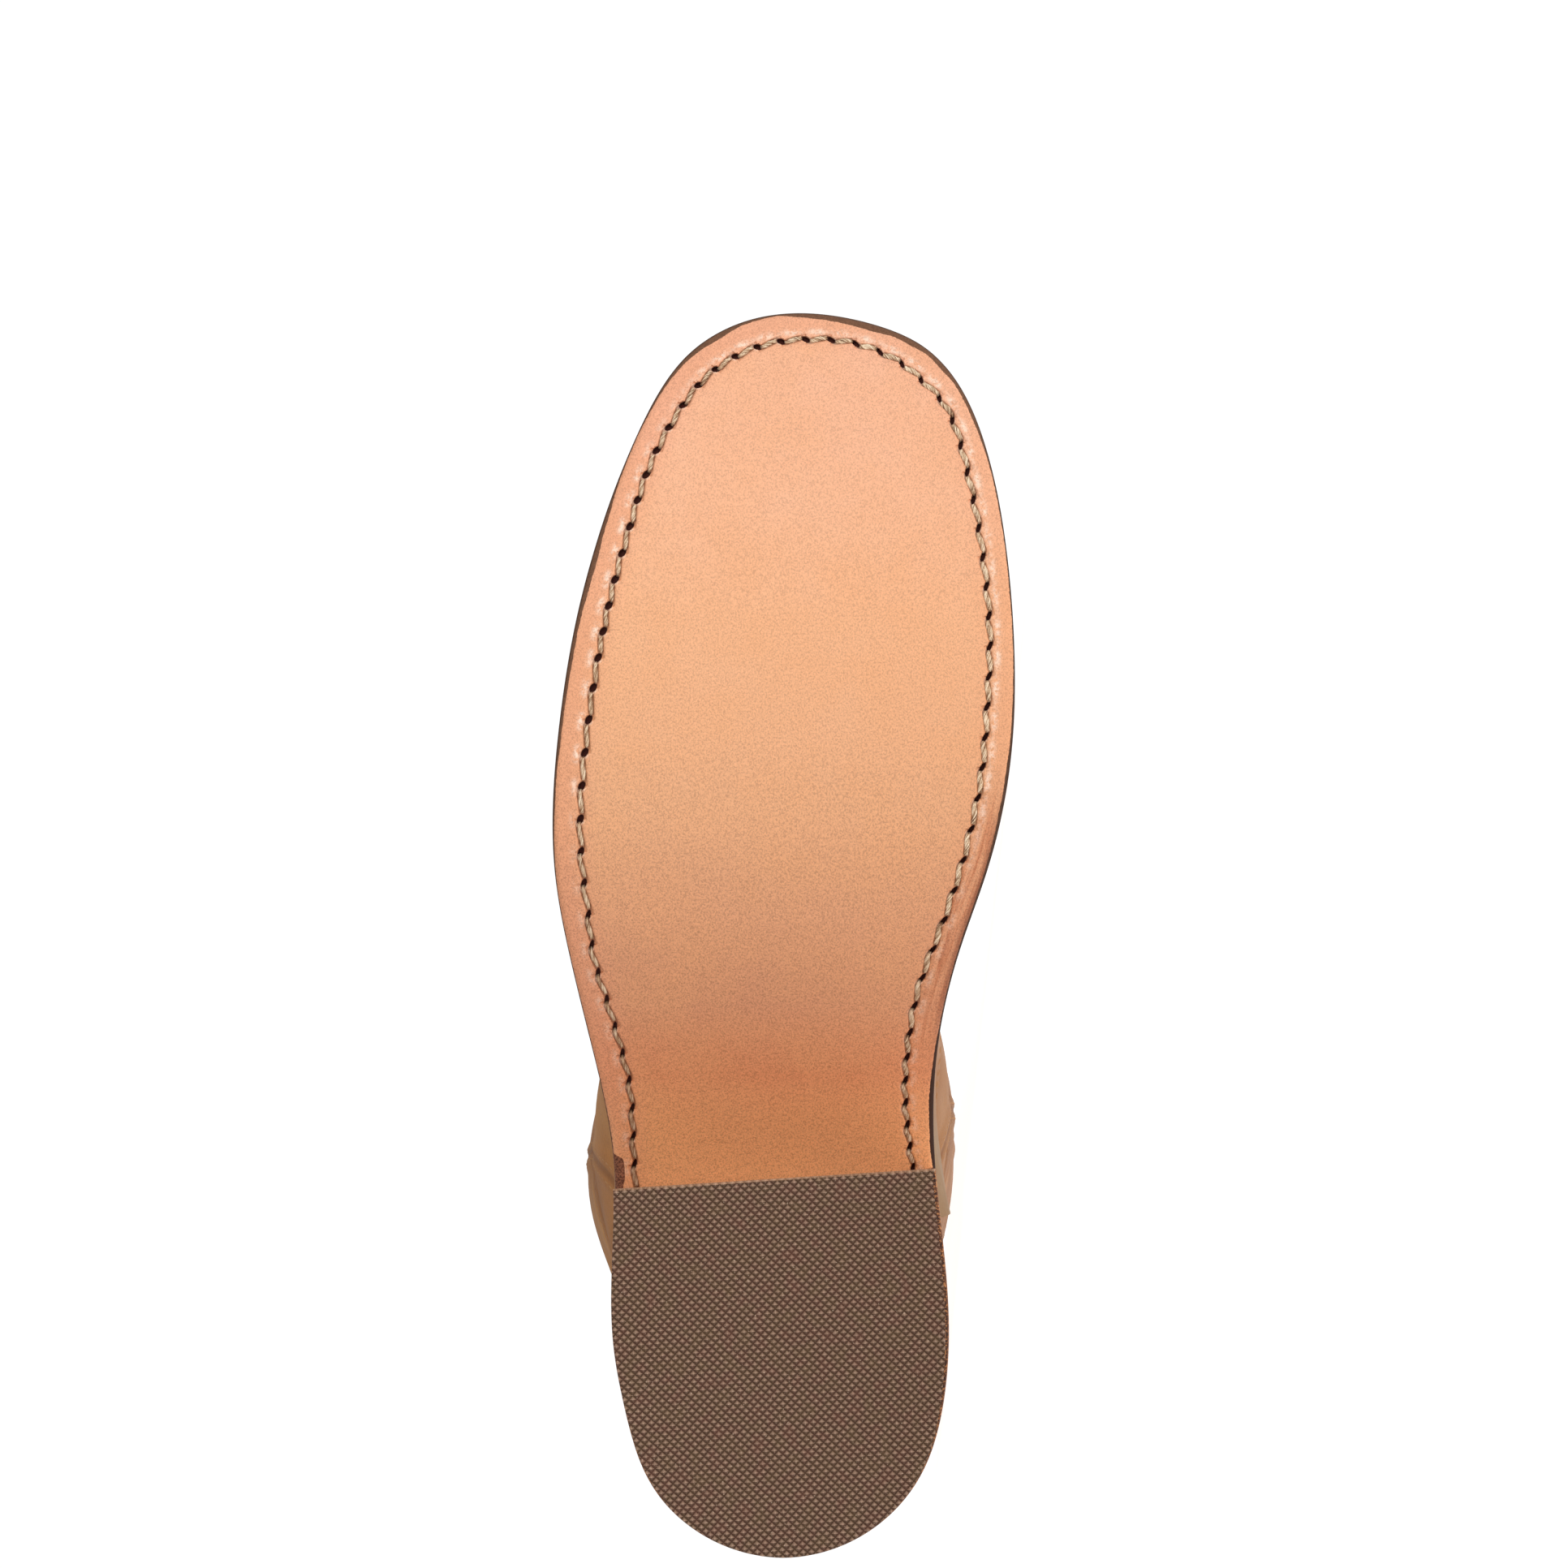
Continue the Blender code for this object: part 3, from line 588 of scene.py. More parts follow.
def upper_surface(ring, angle):
    """A point of the upper's outer face at a ring row and an angle, which are arrays of one shape."""
    ring, angle = np.broadcast_arrays(np.asarray(ring, float), np.asarray(angle, float))
    row = ring_at(ring)
    follow = np.clip(row["follow"], 0, 1)
    share = share_of(angle)
    y = part_way(row["back_y"], row["front_y"], share)

    foot_centre, foot_half = foot_plan(angle)
    foot_shape = np.abs(foot_half) * feather_shrink(share) / (BALL_WIDTH / 2 * feather_shrink(BALL_STATION))
    width = row["half"] * (follow * foot_shape + (1 - follow) * oval(share, row))
    across = width * np.sign(np.sin(angle))
    x = follow * foot_centre + (1 - follow) * row["centre"] + across
    y = y - row["skew"] * across

    straight = part_way(row["back_z"], row["front_z"], share)
    back_rise = row["back_z"] - feather_height(row["back_y"])
    front_rise = row["front_z"] - feather_height(row["front_y"])
    rise = np.where(ring <= 0, 0.0, part_way(back_rise, front_rise, share))
    z = follow * (feather_height(y) + rise) + (1 - follow) * straight
    return np.stack([x, y, z], axis=-1)


def upper_normal(ring, angle):
    """Outward normal of the upper's outer face. At the feather edge it is level."""
    along = upper_surface(ring, angle + NORMAL_STEP) - upper_surface(ring, angle - NORMAL_STEP)
    top = len(RING_ROWS) - 1
    above = np.clip(ring + NORMAL_STEP, NORMAL_STEP, top)
    below = np.clip(ring - NORMAL_STEP, NORMAL_STEP / 2, top)
    normal = np.cross(along, upper_surface(above, angle) - upper_surface(below, angle))
    normal[..., 2] *= np.clip(ring, 0, 1)
    return unit(normal)


def upper_offset(ring, angle, depth):
    """The upper's outer face moved out by a depth, or in if it is negative. Its foot keeps to the outsole."""
    start = upper_surface(ring, angle)
    moved = start + upper_normal(ring, angle) * np.asarray(depth, float)[..., None]
    moved[..., 2] += (sole_height(moved[..., 1]) - sole_height(start[..., 1])) * np.clip(1 - ring, 0, 1)
    return moved


def angle_at(ring, turn):
    """Angle at a ring row for a turn: 0 at the back, 1 on the lateral side line, 2 at the toe, 3 medially."""
    row = ring_at(ring)
    side = np.arccos(1 - 2 * (row["side_y"] - row["back_y"]) / (row["front_y"] - row["back_y"]))
    toe_turn = np.abs(turn - 2)
    lateral_angle = np.where(toe_turn > 1, side * (2 - toe_turn), math.pi - (math.pi - side) * toe_turn)
    return np.where(turn > 2, 2 * math.pi - lateral_angle, lateral_angle)


def overlay_edge(turn):
    """Ring row of the upper edge of vamp and counter at a turn."""
    toe_turn = np.abs(turn - 2)
    climb = 1 - np.clip(toe_turn, 0, 1) ** VAMP_EDGE_POWER
    vamp = part_way(JOINT_RING, VAMP_PEAK_RING, climb)
    counter = part_way(JOINT_RING, COUNTER_BACK_RING, np.sin(np.clip(toe_turn - 1, 0, 1) * math.pi / 2))
    return np.where(toe_turn > 1, counter, vamp)


def smooth(low, high, x):
    """0 below low, 1 above high and a soft step between. The step falls where low is above high."""
    t = np.clip((x - low) / (high - low), 0, 1)
    return t * t * (3 - 2 * t)


def lying_turn():
    """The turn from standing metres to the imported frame, read off the treads of heel and forefoot."""
    heel_standing = Vector((0.001, 0.045, 0.0))
    forefoot_standing = Vector((0.0, 0.195, 0.0))
    mounts = {mount["name"]: mount for mount in frame["record"]["mounts"]}
    heel, forefoot = (Vector(mounts[name]["pos_m"]) for name in ("heel_tread", "forefoot_tread"))

    def axes(along, up):
        along = along.normalized()
        across = along.cross(up).normalized()
        return Matrix((across, along, across.cross(along))).transposed()

    up = -Vector(mounts["heel_tread"]["axis"])
    turn = axes(forefoot - heel, up) @ axes(forefoot_standing - heel_standing, Vector((0, 0, 1))).transposed()
    return Matrix.Translation(heel - turn @ heel_standing) @ turn.to_4x4()


LYING = lying_turn()


# Materials
def linear(red, green, blue):
    """A colour given in the photo's 8-bit values, as the linear one that shaders use."""
    share = np.array([red, green, blue]) / 255
    low = share / 12.92
    high = ((share + 0.055) / 1.055) ** 2.4
    return (*np.where(share > 0.04045, high, low), 1.0)


class Finish:
    """A material under construction, with short calls for its nodes. Places are standing metres."""

    def __init__(self, name, **constants):
        self.material = bpy.data.materials.new(name)
        self.material.use_nodes = True
        self.tree = self.material.node_tree
        self.shader = self.tree.nodes["Principled BSDF"]
        for socket, value in constants.items():
            self.shader.inputs[socket.replace("_", " ")].default_value = value
        standing = LYING.inverted()
        inputs = (
            ("Vector", self.node("ShaderNodeTexCoord", result="Object")),
            ("Location", standing.to_translation()),
            ("Rotation", standing.to_euler()),
        )
        self.place = self.node("ShaderNodeMapping", inputs=inputs)

    def node(self, kind, result=0, inputs=(), **settings):
        """A new node with its settings and inputs, and the output asked for."""
        made = self.tree.nodes.new(kind)
        for name, value in settings.items():
            setattr(made, name, value)
        for name, value in dict(inputs).items():
            self.feed(made.inputs[name], value)
        return made.outputs[result]

    def feed(self, socket, value):
        if isinstance(value, bpy.types.NodeSocket):
            self.tree.links.new(value, socket)
        else:
            socket.default_value = value

    def math(self, operation, first, second):
        return self.node("ShaderNodeMath", inputs=((0, first), (1, second)), operation=operation)

    def times(self, *values):
        """The product of some values."""
        product, *others = values
        for value in others:
            product = self.math("MULTIPLY", product, value)
        return product

    def stretch(self, factors):
        """The place with its axes stretched."""
        inputs = ((0, self.place), (1, factors))
        return self.node("ShaderNodeVectorMath", inputs=inputs, operation="MULTIPLY")

    def noise(self, size, detail=2.0, rough=0.5, vector=None, warp=0.0):
        """Noise whose lumps are about size millimetres."""
        inputs = (
            ("Vector", self.place if vector is None else vector),
            ("Scale", 1 / (size * MM)),
            ("Detail", detail),
            ("Roughness", rough),
            ("Distortion", warp),
        )
        return self.node("ShaderNodeTexNoise", inputs=inputs)

    def spots(self, size, detail, rough, *stops):
        """A ramp through stops over noise."""
        return self.steps(self.noise(size, detail, rough), *stops)

    def cells(self, size, feature, vector=None):
        """Distance in a pattern of cells of about size millimetres."""
        inputs = (("Vector", self.place if vector is None else vector), ("Scale", 1 / (size * MM)))
        return self.node("ShaderNodeTexVoronoi", inputs=inputs, feature=feature)

    def steps(self, value, *stops):
        """A ramp through stops, each a place and an 8-bit colour or a grey."""
        made = self.tree.nodes.new("ShaderNodeValToRGB")
        ramp = made.color_ramp
        while len(ramp.elements) < len(stops):
            ramp.elements.new(0.5)
        for element, (place, tone) in zip(ramp.elements, stops):
            element.position = place
            element.color = linear(*tone) if isinstance(tone, tuple) else (tone, tone, tone, 1.0)
        self.feed(made.inputs[0], value)
        return made.outputs["Color"]

    def mix(self, share, first, second, blend="MIX"):
        """Two tones, each a socket or an 8-bit colour, mixed by a share."""
        made = self.tree.nodes.new("ShaderNodeMix")
        made.data_type = "RGBA"
        made.blend_type = blend
        for socket, value in zip((0, 6, 7), (share, first, second)):
            self.feed(made.inputs[socket], linear(*value) if isinstance(value, tuple) else value)
        return made.outputs[2]

    def layers(self, tone, *rows):
        """Colours laid over a tone one by one. Each row has a share, a colour and perhaps a strength."""
        for share, colour, *strength in rows:
            tone = self.mix(self.times(share, *strength), tone, colour)
        return tone

    def mark(self, name):
        """A value that the mesh carries at its points."""
        return self.node("ShaderNodeAttribute", result="Fac", attribute_name=name)

    def vector(self, *parts):
        """A place from three values."""
        return self.node("ShaderNodeCombineXYZ", inputs=tuple(enumerate(parts)))

    def axis(self, letter):
        return self.node("ShaderNodeSeparateXYZ", result=letter, inputs=((0, self.place),))

    def facing(self, direction):
        """How far the surface faces a standing direction, from -1 to 1."""
        normal = self.node("ShaderNodeNewGeometry", result="True Normal")
        inputs = ((0, normal), (1, LYING.to_3x3() @ Vector(direction)))
        return self.node("ShaderNodeVectorMath", result="Value", inputs=inputs, operation="DOT_PRODUCT")

    def between(self, value, low, high, start=0.0, end=1.0):
        """A soft step from start to end while a value runs from low to high."""
        inputs = ((0, value), (1, low), (2, high), (3, start), (4, end))
        return self.node("ShaderNodeMapRange", inputs=inputs, interpolation_type="SMOOTHSTEP")

    def bump(self, height, distance, under=None, strength=1.0):
        """A bump whose full height is distance millimetres, over another."""
        inputs = [("Height", height), ("Distance", distance * MM), ("Strength", strength)]
        if under is not None:
            inputs.append(("Normal", under))
        return self.node("ShaderNodeBump", inputs=inputs)

    def done(self, colour, rough, normal):
        self.feed(self.shader.inputs["Base Color"], colour)
        self.feed(self.shader.inputs["Roughness"], rough)
        self.feed(self.shader.inputs["Normal"], normal)
        return self.material


def sole_leather():
    """Vegetable-tanned sole: pale at the toe, browner at the waist, dark dressing on its edge. The ramp along
    it is partly painted shade, and its bright start at the breast is painted light; the holes, the groove
    beside the thread and the edge's outer rim carry painted shade, and a painted highlight lies beside each
    hole.
    """
    made = Finish("sole_leather", Specular_IOR_Level=0.35, Coat_Weight=0.04, Coat_Roughness=0.4)
    forward = made.axis("Y")
    rim, run = made.mark("rim"), made.mark("run")
    # Partly painted light: the bright start at the breast lifts the sole where the heel shades it, and the
    # paler toe and browner waist are partly painted shade from the key
    tone = made.steps(
        made.between(forward, 0.08, 0.28),
        (0.00, (255, 181, 121)),
        (0.05, (228, 147, 100)),
        (0.12, (215, 147, 107)),
        (0.40, (228, 167, 123)),
        (0.70, (237, 175, 130)),
        (1.00, (241, 179, 143)),
    )
    flush_by_run = ((0.0, 0.42), (0.45, 0.38), (0.60, 0.14), (0.80, 0.14), (0.86, 0.22), (0.91, 0.06))
    flush = made.times(made.between(rim, 11.0, 2.0), made.steps(run, *flush_by_run))
    burnt = made.times(made.between(run, 0.79, 0.84), made.between(run, 0.96, 0.90))
    lengthwise = made.vector(made.times(rim, MM), made.times(run, STREAK_LENGTH), 0.0)
    streak = made.steps(made.noise(0.8, 3, 0.6, lengthwise), (0.42, 0.0), (0.62, 0.75))
    rub = made.times(made.mark("rub"), made.spots(1.2, 4, 0.65, (0.40, 0.0), (0.56, 1.0)))
    tone = made.layers(
        tone,
        (made.spots(16, 4, 0.6, (0.35, 0.0), (0.75, 0.4)), (232, 164, 112)),
        (flush, (222, 144, 110)),
        (made.times(streak, burnt, made.between(rim, 6.5, 4.5)), (184, 106, 66)),
        (made.times(made.between(rim, 2.0, 0.7), burnt), (146, 82, 50), 0.8),
        (rub, (255, 226, 204), 0.8),
        # Painted highlight: a pale edge on the heelward side of each hole, where the key lights its wall
        (made.mark("hole_highlight"), (255, 222, 196), 0.6),
    )
    pebble = made.noise(0.36, 2, 0.65, made.stretch((1.0, 0.8, 1.0)), warp=0.6)
    pebble_shade = made.steps(pebble, (0.38, 0.66), (0.5, 0.9), (0.62, 1.0))
    tone = made.mix(made.between(forward, 0.20, 0.13, 0.8, 1.0), tone, pebble_shade, "MULTIPLY")

    along = made.vector(made.times(run, EDGE_LENGTH), 0.0, 0.0)
    wave = made.math("ADD", made.times(made.noise(9, 2, 0.5, along), 0.9), 0.55)
    ragged = made.times(made.math("SUBTRACT", made.noise(0.8, 3, 0.6), 0.5), 0.35)
    lap = made.math("ADD", made.times(made.mark("dress"), wave), ragged)
    dressing = made.between(made.math("SUBTRACT", lap, rim), -0.06, 0.06)
    speckle = made.spots(0.45, 3, 0.7, (0.38, 0.0), (0.64, 1.0))
    edge = made.layers(
        made.mix(made.noise(1.4, 4, 0.65), (70, 46, 33), (124, 85, 61)),
        (speckle, (150, 108, 80), 0.3),
        # Painted shade: darker towards the outline, where the edge turns away
        (made.between(rim, 0.55, 0.1), (58, 38, 26), 0.6),
        (made.between(run, 0.60, 0.70), (52, 30, 20), 0.6),
        (made.between(run, 0.915, 0.94), (58, 34, 23)),
    )
    torn = made.mix(speckle, (74, 38, 26), (160, 102, 74))
    edge = made.mix(made.between(run, 0.026, 0.020), edge, torn)
    # Painted shade: the stitch holes are coloured near black
    hole_shade = made.between(made.mark("hole_shade"), 0.46, 0.53)
    tone = made.layers(
        made.mix(dressing, tone, edge),
        # Painted shade: a thin dark line on each side of the thread, where the groove's walls fall in shade
        (made.between(made.mark("groove"), 0.48, 0.54), (104, 58, 38), 0.55),
        (hole_shade, (78, 35, 27)),
    )
    grain = made.bump(made.noise(3.0, 4, 0.6), 0.08, made.bump(pebble, 0.11), 0.5)
    rough = made.spots(12, 3, 0.5, (0.3, 0.46), (0.7, 0.60))
    matt = made.math("MAXIMUM", hole_shade, dressing)
    return made.done(tone, made.math("MAXIMUM", rough, matt), grain)


def thread():
    """Waxed thread of the sole: pale beige strands, their pale streaks partly painted highlight and the dark
    between them painted shade, darker and browner towards the heel.
    """
    made = Finish("thread", Specular_IOR_Level=0.3)
    lay = [made.times(made.mark(name), 0.4 * MM) for name in ("strand_side", "strand_up")]
    run = made.times(made.mark("strand_run"), 0.06 * MM)
    strands = made.noise(0.2, 3, 0.6, made.vector(*lay, run))
    # Partly painted light: pale streaks on the strands are painted highlights, the dark between them painted
    # shade
    tone = made.steps(strands, (0.36, (92, 60, 40)), (0.47, (188, 153, 117)), (0.62, (241, 221, 192)))
    across, forward = made.axis("X"), made.axis("Y")
    lateral = made.times(made.between(across, 0.0, 0.03), made.between(forward, 0.15, 0.10, 0.12, 0.57))
    medial = made.times(made.between(across, 0.0, -0.03), made.between(forward, 0.15, 0.11, 0.0, 0.4))
    tone = made.layers(tone, (made.math("MAXIMUM", lateral, medial), (158, 114, 80)))
    return made.done(tone, 0.6, made.bump(strands, 0.08))


def heel_rubber():
    """Knurled brown rubber: tips worn lighter, grooves darker with painted shade, facets facing the heel
    darkened as painted shade, plain cut sides.
    """
    made = Finish("heel_rubber", Specular_IOR_Level=0.3)
    # Lighter on the diamonds' tips where they wear, darkest in the grooves, partly painted shade
    tone = made.steps(
        made.times(made.axis("Z"), 1 / (3 * KNURL_DEPTH * MM)),
        (0.00, (176, 145, 124)),
        (0.20, (146, 117, 97)),
        (0.31, (84, 58, 44)),
        (0.60, (108, 80, 62)),
    )
    patch = made.noise(3.5, 3)
    corner = HEEL_POINTS // 2
    lateral, medial = heel_outline(0.0, HEEL_POINTS)[corner - 1 : corner + 1] * MM
    slope = (medial[1] - lateral[1]) / (lateral[0] - medial[0])
    front = made.math("ADD", made.axis("Y"), made.times(made.axis("X"), slope))
    breast = lateral[1] + lateral[0] * slope
    tone = made.layers(
        tone,
        # Painted shade: facets facing the heel darker
        (made.between(made.facing((0, 1, 0)), 0.15, -0.35), (72, 48, 36), 0.75),
        (made.steps(patch, (0.45, 0.0), (0.7, 0.35)), (116, 96, 66)),
        (made.steps(patch, (0.3, 0.35), (0.5, 0.0)), (126, 84, 70)),
        (made.spots(0.7, 3, 0.5, (0.45, 0.0), (0.75, 0.4)), (92, 66, 52)),
        (made.spots(0.5, 2, 0.5, (0.68, 0.0), (0.74, 0.7)), (214, 188, 164)),
        (made.between(front, breast - 0.55 * MM, breast - 0.35 * MM), (182, 142, 112), 0.65),
    )
    rough = made.spots(2.0, 3, 0.5, (0.3, 0.60), (0.7, 0.78))
    return made.done(tone, rough, made.bump(made.noise(0.3, 3), 0.05, strength=0.6))


def stack_leather():
    """Stained stack of the heel, with the fibres of its cut edges lying level and a flecked underside."""
    made = Finish("stack_leather", Specular_IOR_Level=0.35, Coat_Weight=0.08, Coat_Roughness=0.3)
    fibres = made.noise(0.45, 4, 0.65, made.stretch((0.22, 0.22, 1.6)))
    tone = made.layers(
        made.steps(fibres, (0.3, (104, 60, 36)), (0.7, (186, 122, 78))),
        (made.spots(9, 3, 0.5, (0.4, 0.0), (0.75, 0.35)), (132, 80, 48)),
        (made.spots(0.8, 3, 0.7, (0.58, 0.0), (0.7, 0.8)), (58, 34, 24)),
        (made.spots(0.6, 3, 0.7, (0.58, 0.0), (0.66, 0.8)), (232, 176, 124)),
    )
    under = made.spots(0.55, 2, 0.6, (0.40, (62, 37, 26)), (0.52, (118, 71, 44)), (0.62, (214, 148, 92)))
    tone = made.mix(made.between(made.facing((0, 0, -1)), 0.5, 0.8), tone, under)
    rough = made.steps(fibres, (0.3, 0.42), (0.7, 0.62))
    return made.done(tone, rough, made.bump(fibres, 0.12, strength=0.7))


def edge_leather():
    """Dressed and waxed edge of the welt."""
    made = Finish("edge_leather", Specular_IOR_Level=0.5, Coat_Weight=0.2, Coat_Roughness=0.25)
    fibres = made.noise(0.6, 4, 0.6)
    tone = made.mix(fibres, (72, 42, 28), (126, 82, 56))
    return made.done(tone, made.steps(fibres, (0.3, 0.35), (0.7, 0.5)), made.bump(fibres, 0.08))


def upper_leather():
    """Oiled tan pull-up leather: lighter where it is stretched, fine grain, soft shine, with painted shade in
    crease troughs, along the seams' grooves, at the overlays' foot and medial joint, and on the side that
    faces the floor.
    """
    made = Finish("upper_leather", Specular_IOR_Level=0.1, Coat_Weight=0.06, Coat_Roughness=0.4)
    cloud = made.noise(45, 3, 0.5, warp=0.3)
    streak = made.noise(3.0, 5, 0.65, made.stretch((1.0, 1.0, 0.4)), warp=0.6)
    pull, raw, painted_shade = (made.between(made.mark(name), 0.0, 1.0) for name in ("pull", "raw", "painted_shade"))
    tone = made.layers(
        made.steps(cloud, (0.30, (161, 105, 58)), (0.50, (180, 122, 70)), (0.70, (196, 141, 87))),
        (pull, (216, 160, 98), 0.32),
        (raw, (166, 137, 98), 0.85),
        # Painted shade on surfaces that face the floor
        (made.between(made.facing((-1, 0, 0)), 0.55, 0.95), (128, 100, 74), 0.4),
        # Painted shade in crease troughs, the seams' grooves, and at the overlays' foot and joint
        (painted_shade, (112, 68, 40), 0.45),
        (made.steps(streak, (0.52, 0.0), (0.80, 0.16)), (124, 78, 46)),
        (made.spots(0.8, 3, 0.6, (0.52, 0.0), (0.75, 0.25)), (110, 70, 42)),
    )
    normal = made.bump(made.cells(0.8, "SMOOTH_F1"), 0.09, strength=0.6)
    normal = made.bump(made.noise(5.0, 4, 0.6), 0.25, normal, 0.5)
    wrinkle = made.cells(5.0, "DISTANCE_TO_EDGE", made.stretch((0.7, 0.7, 2.0)))
    bent = made.times(made.between(wrinkle, 0.16, 0.0), made.mark("bent"))
    normal = made.bump(bent, -0.35, normal, 0.8)
    return made.done(tone, made.spots(14, 3, 0.5, (0.3, 0.46), (0.7, 0.62)), normal)


def lining_leather():
    """Plain matt lining."""
    made = Finish("lining_leather", Specular_IOR_Level=0.25)
    tone = made.mix(made.noise(18, 4), (176, 138, 100), (204, 168, 128))
    return made.done(tone, 0.8, made.bump(made.noise(0.7, 4, 0.65), 0.12, strength=0.6))


def seam_thread():
    """Fine thread of the upper's seams."""
    made = Finish("seam_thread", Specular_IOR_Level=0.3)
    tone = made.mix(made.noise(3, 2), (164, 114, 68), (196, 148, 98))
    return made.done(tone, 0.6, made.bump(made.noise(0.2, 2), 0.05))


# Meshes
def grid_faces(rows, columns, closed, first=0):
    """Quads of a grid of points, row by row, closed round its columns or not."""
    across = columns if closed else columns - 1
    row, column = np.meshgrid(np.arange(rows - 1), np.arange(across), indexing="ij")
    after = (column + 1) % columns
    low, high = row * columns, (row + 1) * columns
    corners = np.stack([low + column, low + after, high + after, high + column], axis=-1)
    return corners.reshape(-1, 4) + first


def shell_faces(rows, columns, closed):
    """Quads of a wall between two grids of one shape: its outside, its inside and its rims."""
    inside = rows * columns
    index = np.arange(inside).reshape(rows, columns)
    borders = [np.append(index[row], index[row, 0]) if closed else index[row] for row in (0, -1)]
    if not closed:
        borders += [index[:, 0], index[:, -1]]
    rims = []
    for border in borders:
        near, far = border[:-1], border[1:]
        rims.append(np.stack([near, far, inside + far, inside + near], axis=1))
    outer = grid_faces(rows, columns, closed)
    return outer, outer[:, ::-1] + inside, np.concatenate(rims)


def link(name, data):
    """A new object in the scene."""
    made = bpy.data.objects.new(name, data)
    bpy.context.scene.collection.objects.link(made)
    return made


def closed_mesh(name, points, faces, parts=None):
    """A mesh of standing points in millimetres, its faces turned out. Parts gives each face's material."""
    mesh = bpy.data.meshes.new(name)
    mesh.from_pydata(np.asarray(points, float) * MM, [], faces)
    if parts is not None:
        mesh.polygons.foreach_set("material_index", np.asarray(parts, np.int32))
    work = bmesh.new()
    work.from_mesh(mesh)
    bmesh.ops.recalc_face_normals(work, faces=work.faces)
    work.to_mesh(mesh)
    work.free()
    return mesh


def add_piece(name, points, faces, materials, slot, nodes=(), marks=(), parts=None, sharp=None):
    """A piece of the boot, laid down with it. Marks are values at its points."""
    mesh = closed_mesh(name, points, faces, parts)
    for mark, values in dict(marks).items():
        held = mesh.attributes.new(mark, "FLOAT", "POINT")
        held.data.foreach_set("value", np.asarray(values, np.float32))
    mesh.transform(LYING)
    mesh.shade_smooth()
    if sharp is not None:
        mesh.set_sharp_from_angle(angle=math.radians(sharp))
    for material in materials:
        mesh.materials.append(material)
    piece = link(name, mesh)
    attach(piece, "root")
    if nodes:
        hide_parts(*nodes)


def stitch_line():
    """The sole's stitch line: outline angles, stitch numbers and arc shares at fine steps."""
    angle = edge_angles(STITCH_LATERAL_START, STITCH_MEDIAL_END, RIM_SAMPLES)
    step = np.linalg.norm(np.diff(sole_outline(angle), axis=0), axis=1)
    arc = running(step)
    share = arc / arc[-1]
    pitch = rim_value("pitch", share)
    count = running(step / ((pitch[1:] + pitch[:-1]) / 2))
    return angle, count * STITCHES / count[-1], share


def rim_value(name, share):
    """A column of the rim's table at a share of the edge."""
    return monotone(SOLE_RIM["share"], SOLE_RIM[name], share)


LINE_ANGLE, LINE_COUNT, LINE_SHARE = stitch_line()


def edge_share(number):
    """Share of the edge at a stitch number."""
    return np.interp(number, LINE_COUNT, LINE_SHARE)


def lateral_share(share):
    """1 along the lateral half of the stitch line, 0 along the medial half."""
    return smooth(*LATERAL_END, share)


def within(spans, share):
    """1 inside a span of the edge, with a soft start and a soft end."""
    start, end = spans
    return smooth(*start, share) * smooth(*end, share)


def sole_columns():
    """Outline angles of the sole's columns from the back round, and the stitch number at each."""
    count = STITCHES * COLUMNS_PER_STITCH
    number = (np.arange(count) + 0.5) / COLUMNS_PER_STITCH
    stitched = np.interp(number, LINE_COUNT, LINE_ANGLE)
    part = (np.arange(SEAT_COLUMNS) + 0.5) / SEAT_COLUMNS
    lateral_seat = stitched[0] * part
    medial_seat = 2 * math.pi - (2 * math.pi - stitched[-1]) * part[::-1]
    seat = np.full(SEAT_COLUMNS, UNSEWN)
    return np.concatenate([lateral_seat, stitched, medial_seat]), np.concatenate([seat, number, seat])


def rim_relief(number, depth):
    """Sinking of the sole's underside near the stitches, with marks of the holes' painted shade, the painted
    highlight beside each hole, the grooves' painted shade and rubbing.

    The marks of holes and grooves fall from 1 in their middle to a half at their edge.
    """
    share = edge_share(number)
    pitch = rim_value("pitch", share)
    sewn = (number > -0.5) & (number < STITCHES + 0.5)
    nearest = np.round(number)
    along = (number - nearest) * pitch
    inward = depth - rim_value("depth", share)
    lateral = lateral_share(share)

    rounder = lateral * smooth(*HOLE_ROUNDER_FROM, share)
    long_half = HOLE_LONG - HOLE_ROUNDER * rounder
    across_half = HOLE_ACROSS + HOLE_ROUNDER * rounder
    turned_along = along * math.cos(HOLE_SLANT) + inward * math.sin(HOLE_SLANT)
    turned_across = inward * math.cos(HOLE_SLANT) - along * math.sin(HOLE_SLANT)
    reach = np.sqrt((turned_along / long_half) ** 2 + (turned_across / across_half) ** 2)
    pit = smooth(*HOLE_FADE, reach) * sewn
    # Mark of the painted shade in each hole
    hole_shade = np.clip(1 - reach / 2, 0, 1) * sewn
    heelward = np.where(share < 0.5, -along, along) / long_half
    # Painted highlight on the heelward side of each hole
    hole_highlight = smooth(*HOLE_HIGHLIGHT_FADE, reach) * smooth(*HOLE_HIGHLIGHT_HEELWARD, heelward) * (1 - pit) * sewn

    part = number - np.floor(number)
    lean = THREAD_LEAN * (1 - 2 * part)
    beside = np.abs(inward - lean)
    sink = part_way(GROOVE_SINK_MEDIAL, GROOVE_SINK_LATERAL, lateral)
    trough = smooth(*GROOVE_FADE, beside / GROOVE_HALF) * sewn
    # The groove mark carries the painted shade beside the thread
    width = GROOVE_HALF * part_way(GROOVE_END_WIDTH, 1, smooth(*GROOVE_ENDS, np.minimum(part, 1 - part)))
    groove = np.clip(1 - beside / width / 2, 0, 1) * sewn
    streak = np.exp(-(((-inward - RUB_OUTSIDE) / RUB_HALF) ** 2))
    near_hole = smooth(*RUB_AT_HOLE, np.abs(along + RUB_BEFORE))
    scuffed = np.maximum(RUB_LEAST, within(SCUFFED, share))
    rub = streak * (near_hole * scuffed + (1 - near_hole) * within(WORN, share)) * sewn
    return np.maximum(trough * sink, pit * HOLE_SINK), hole_shade, hole_highlight, groove, rub


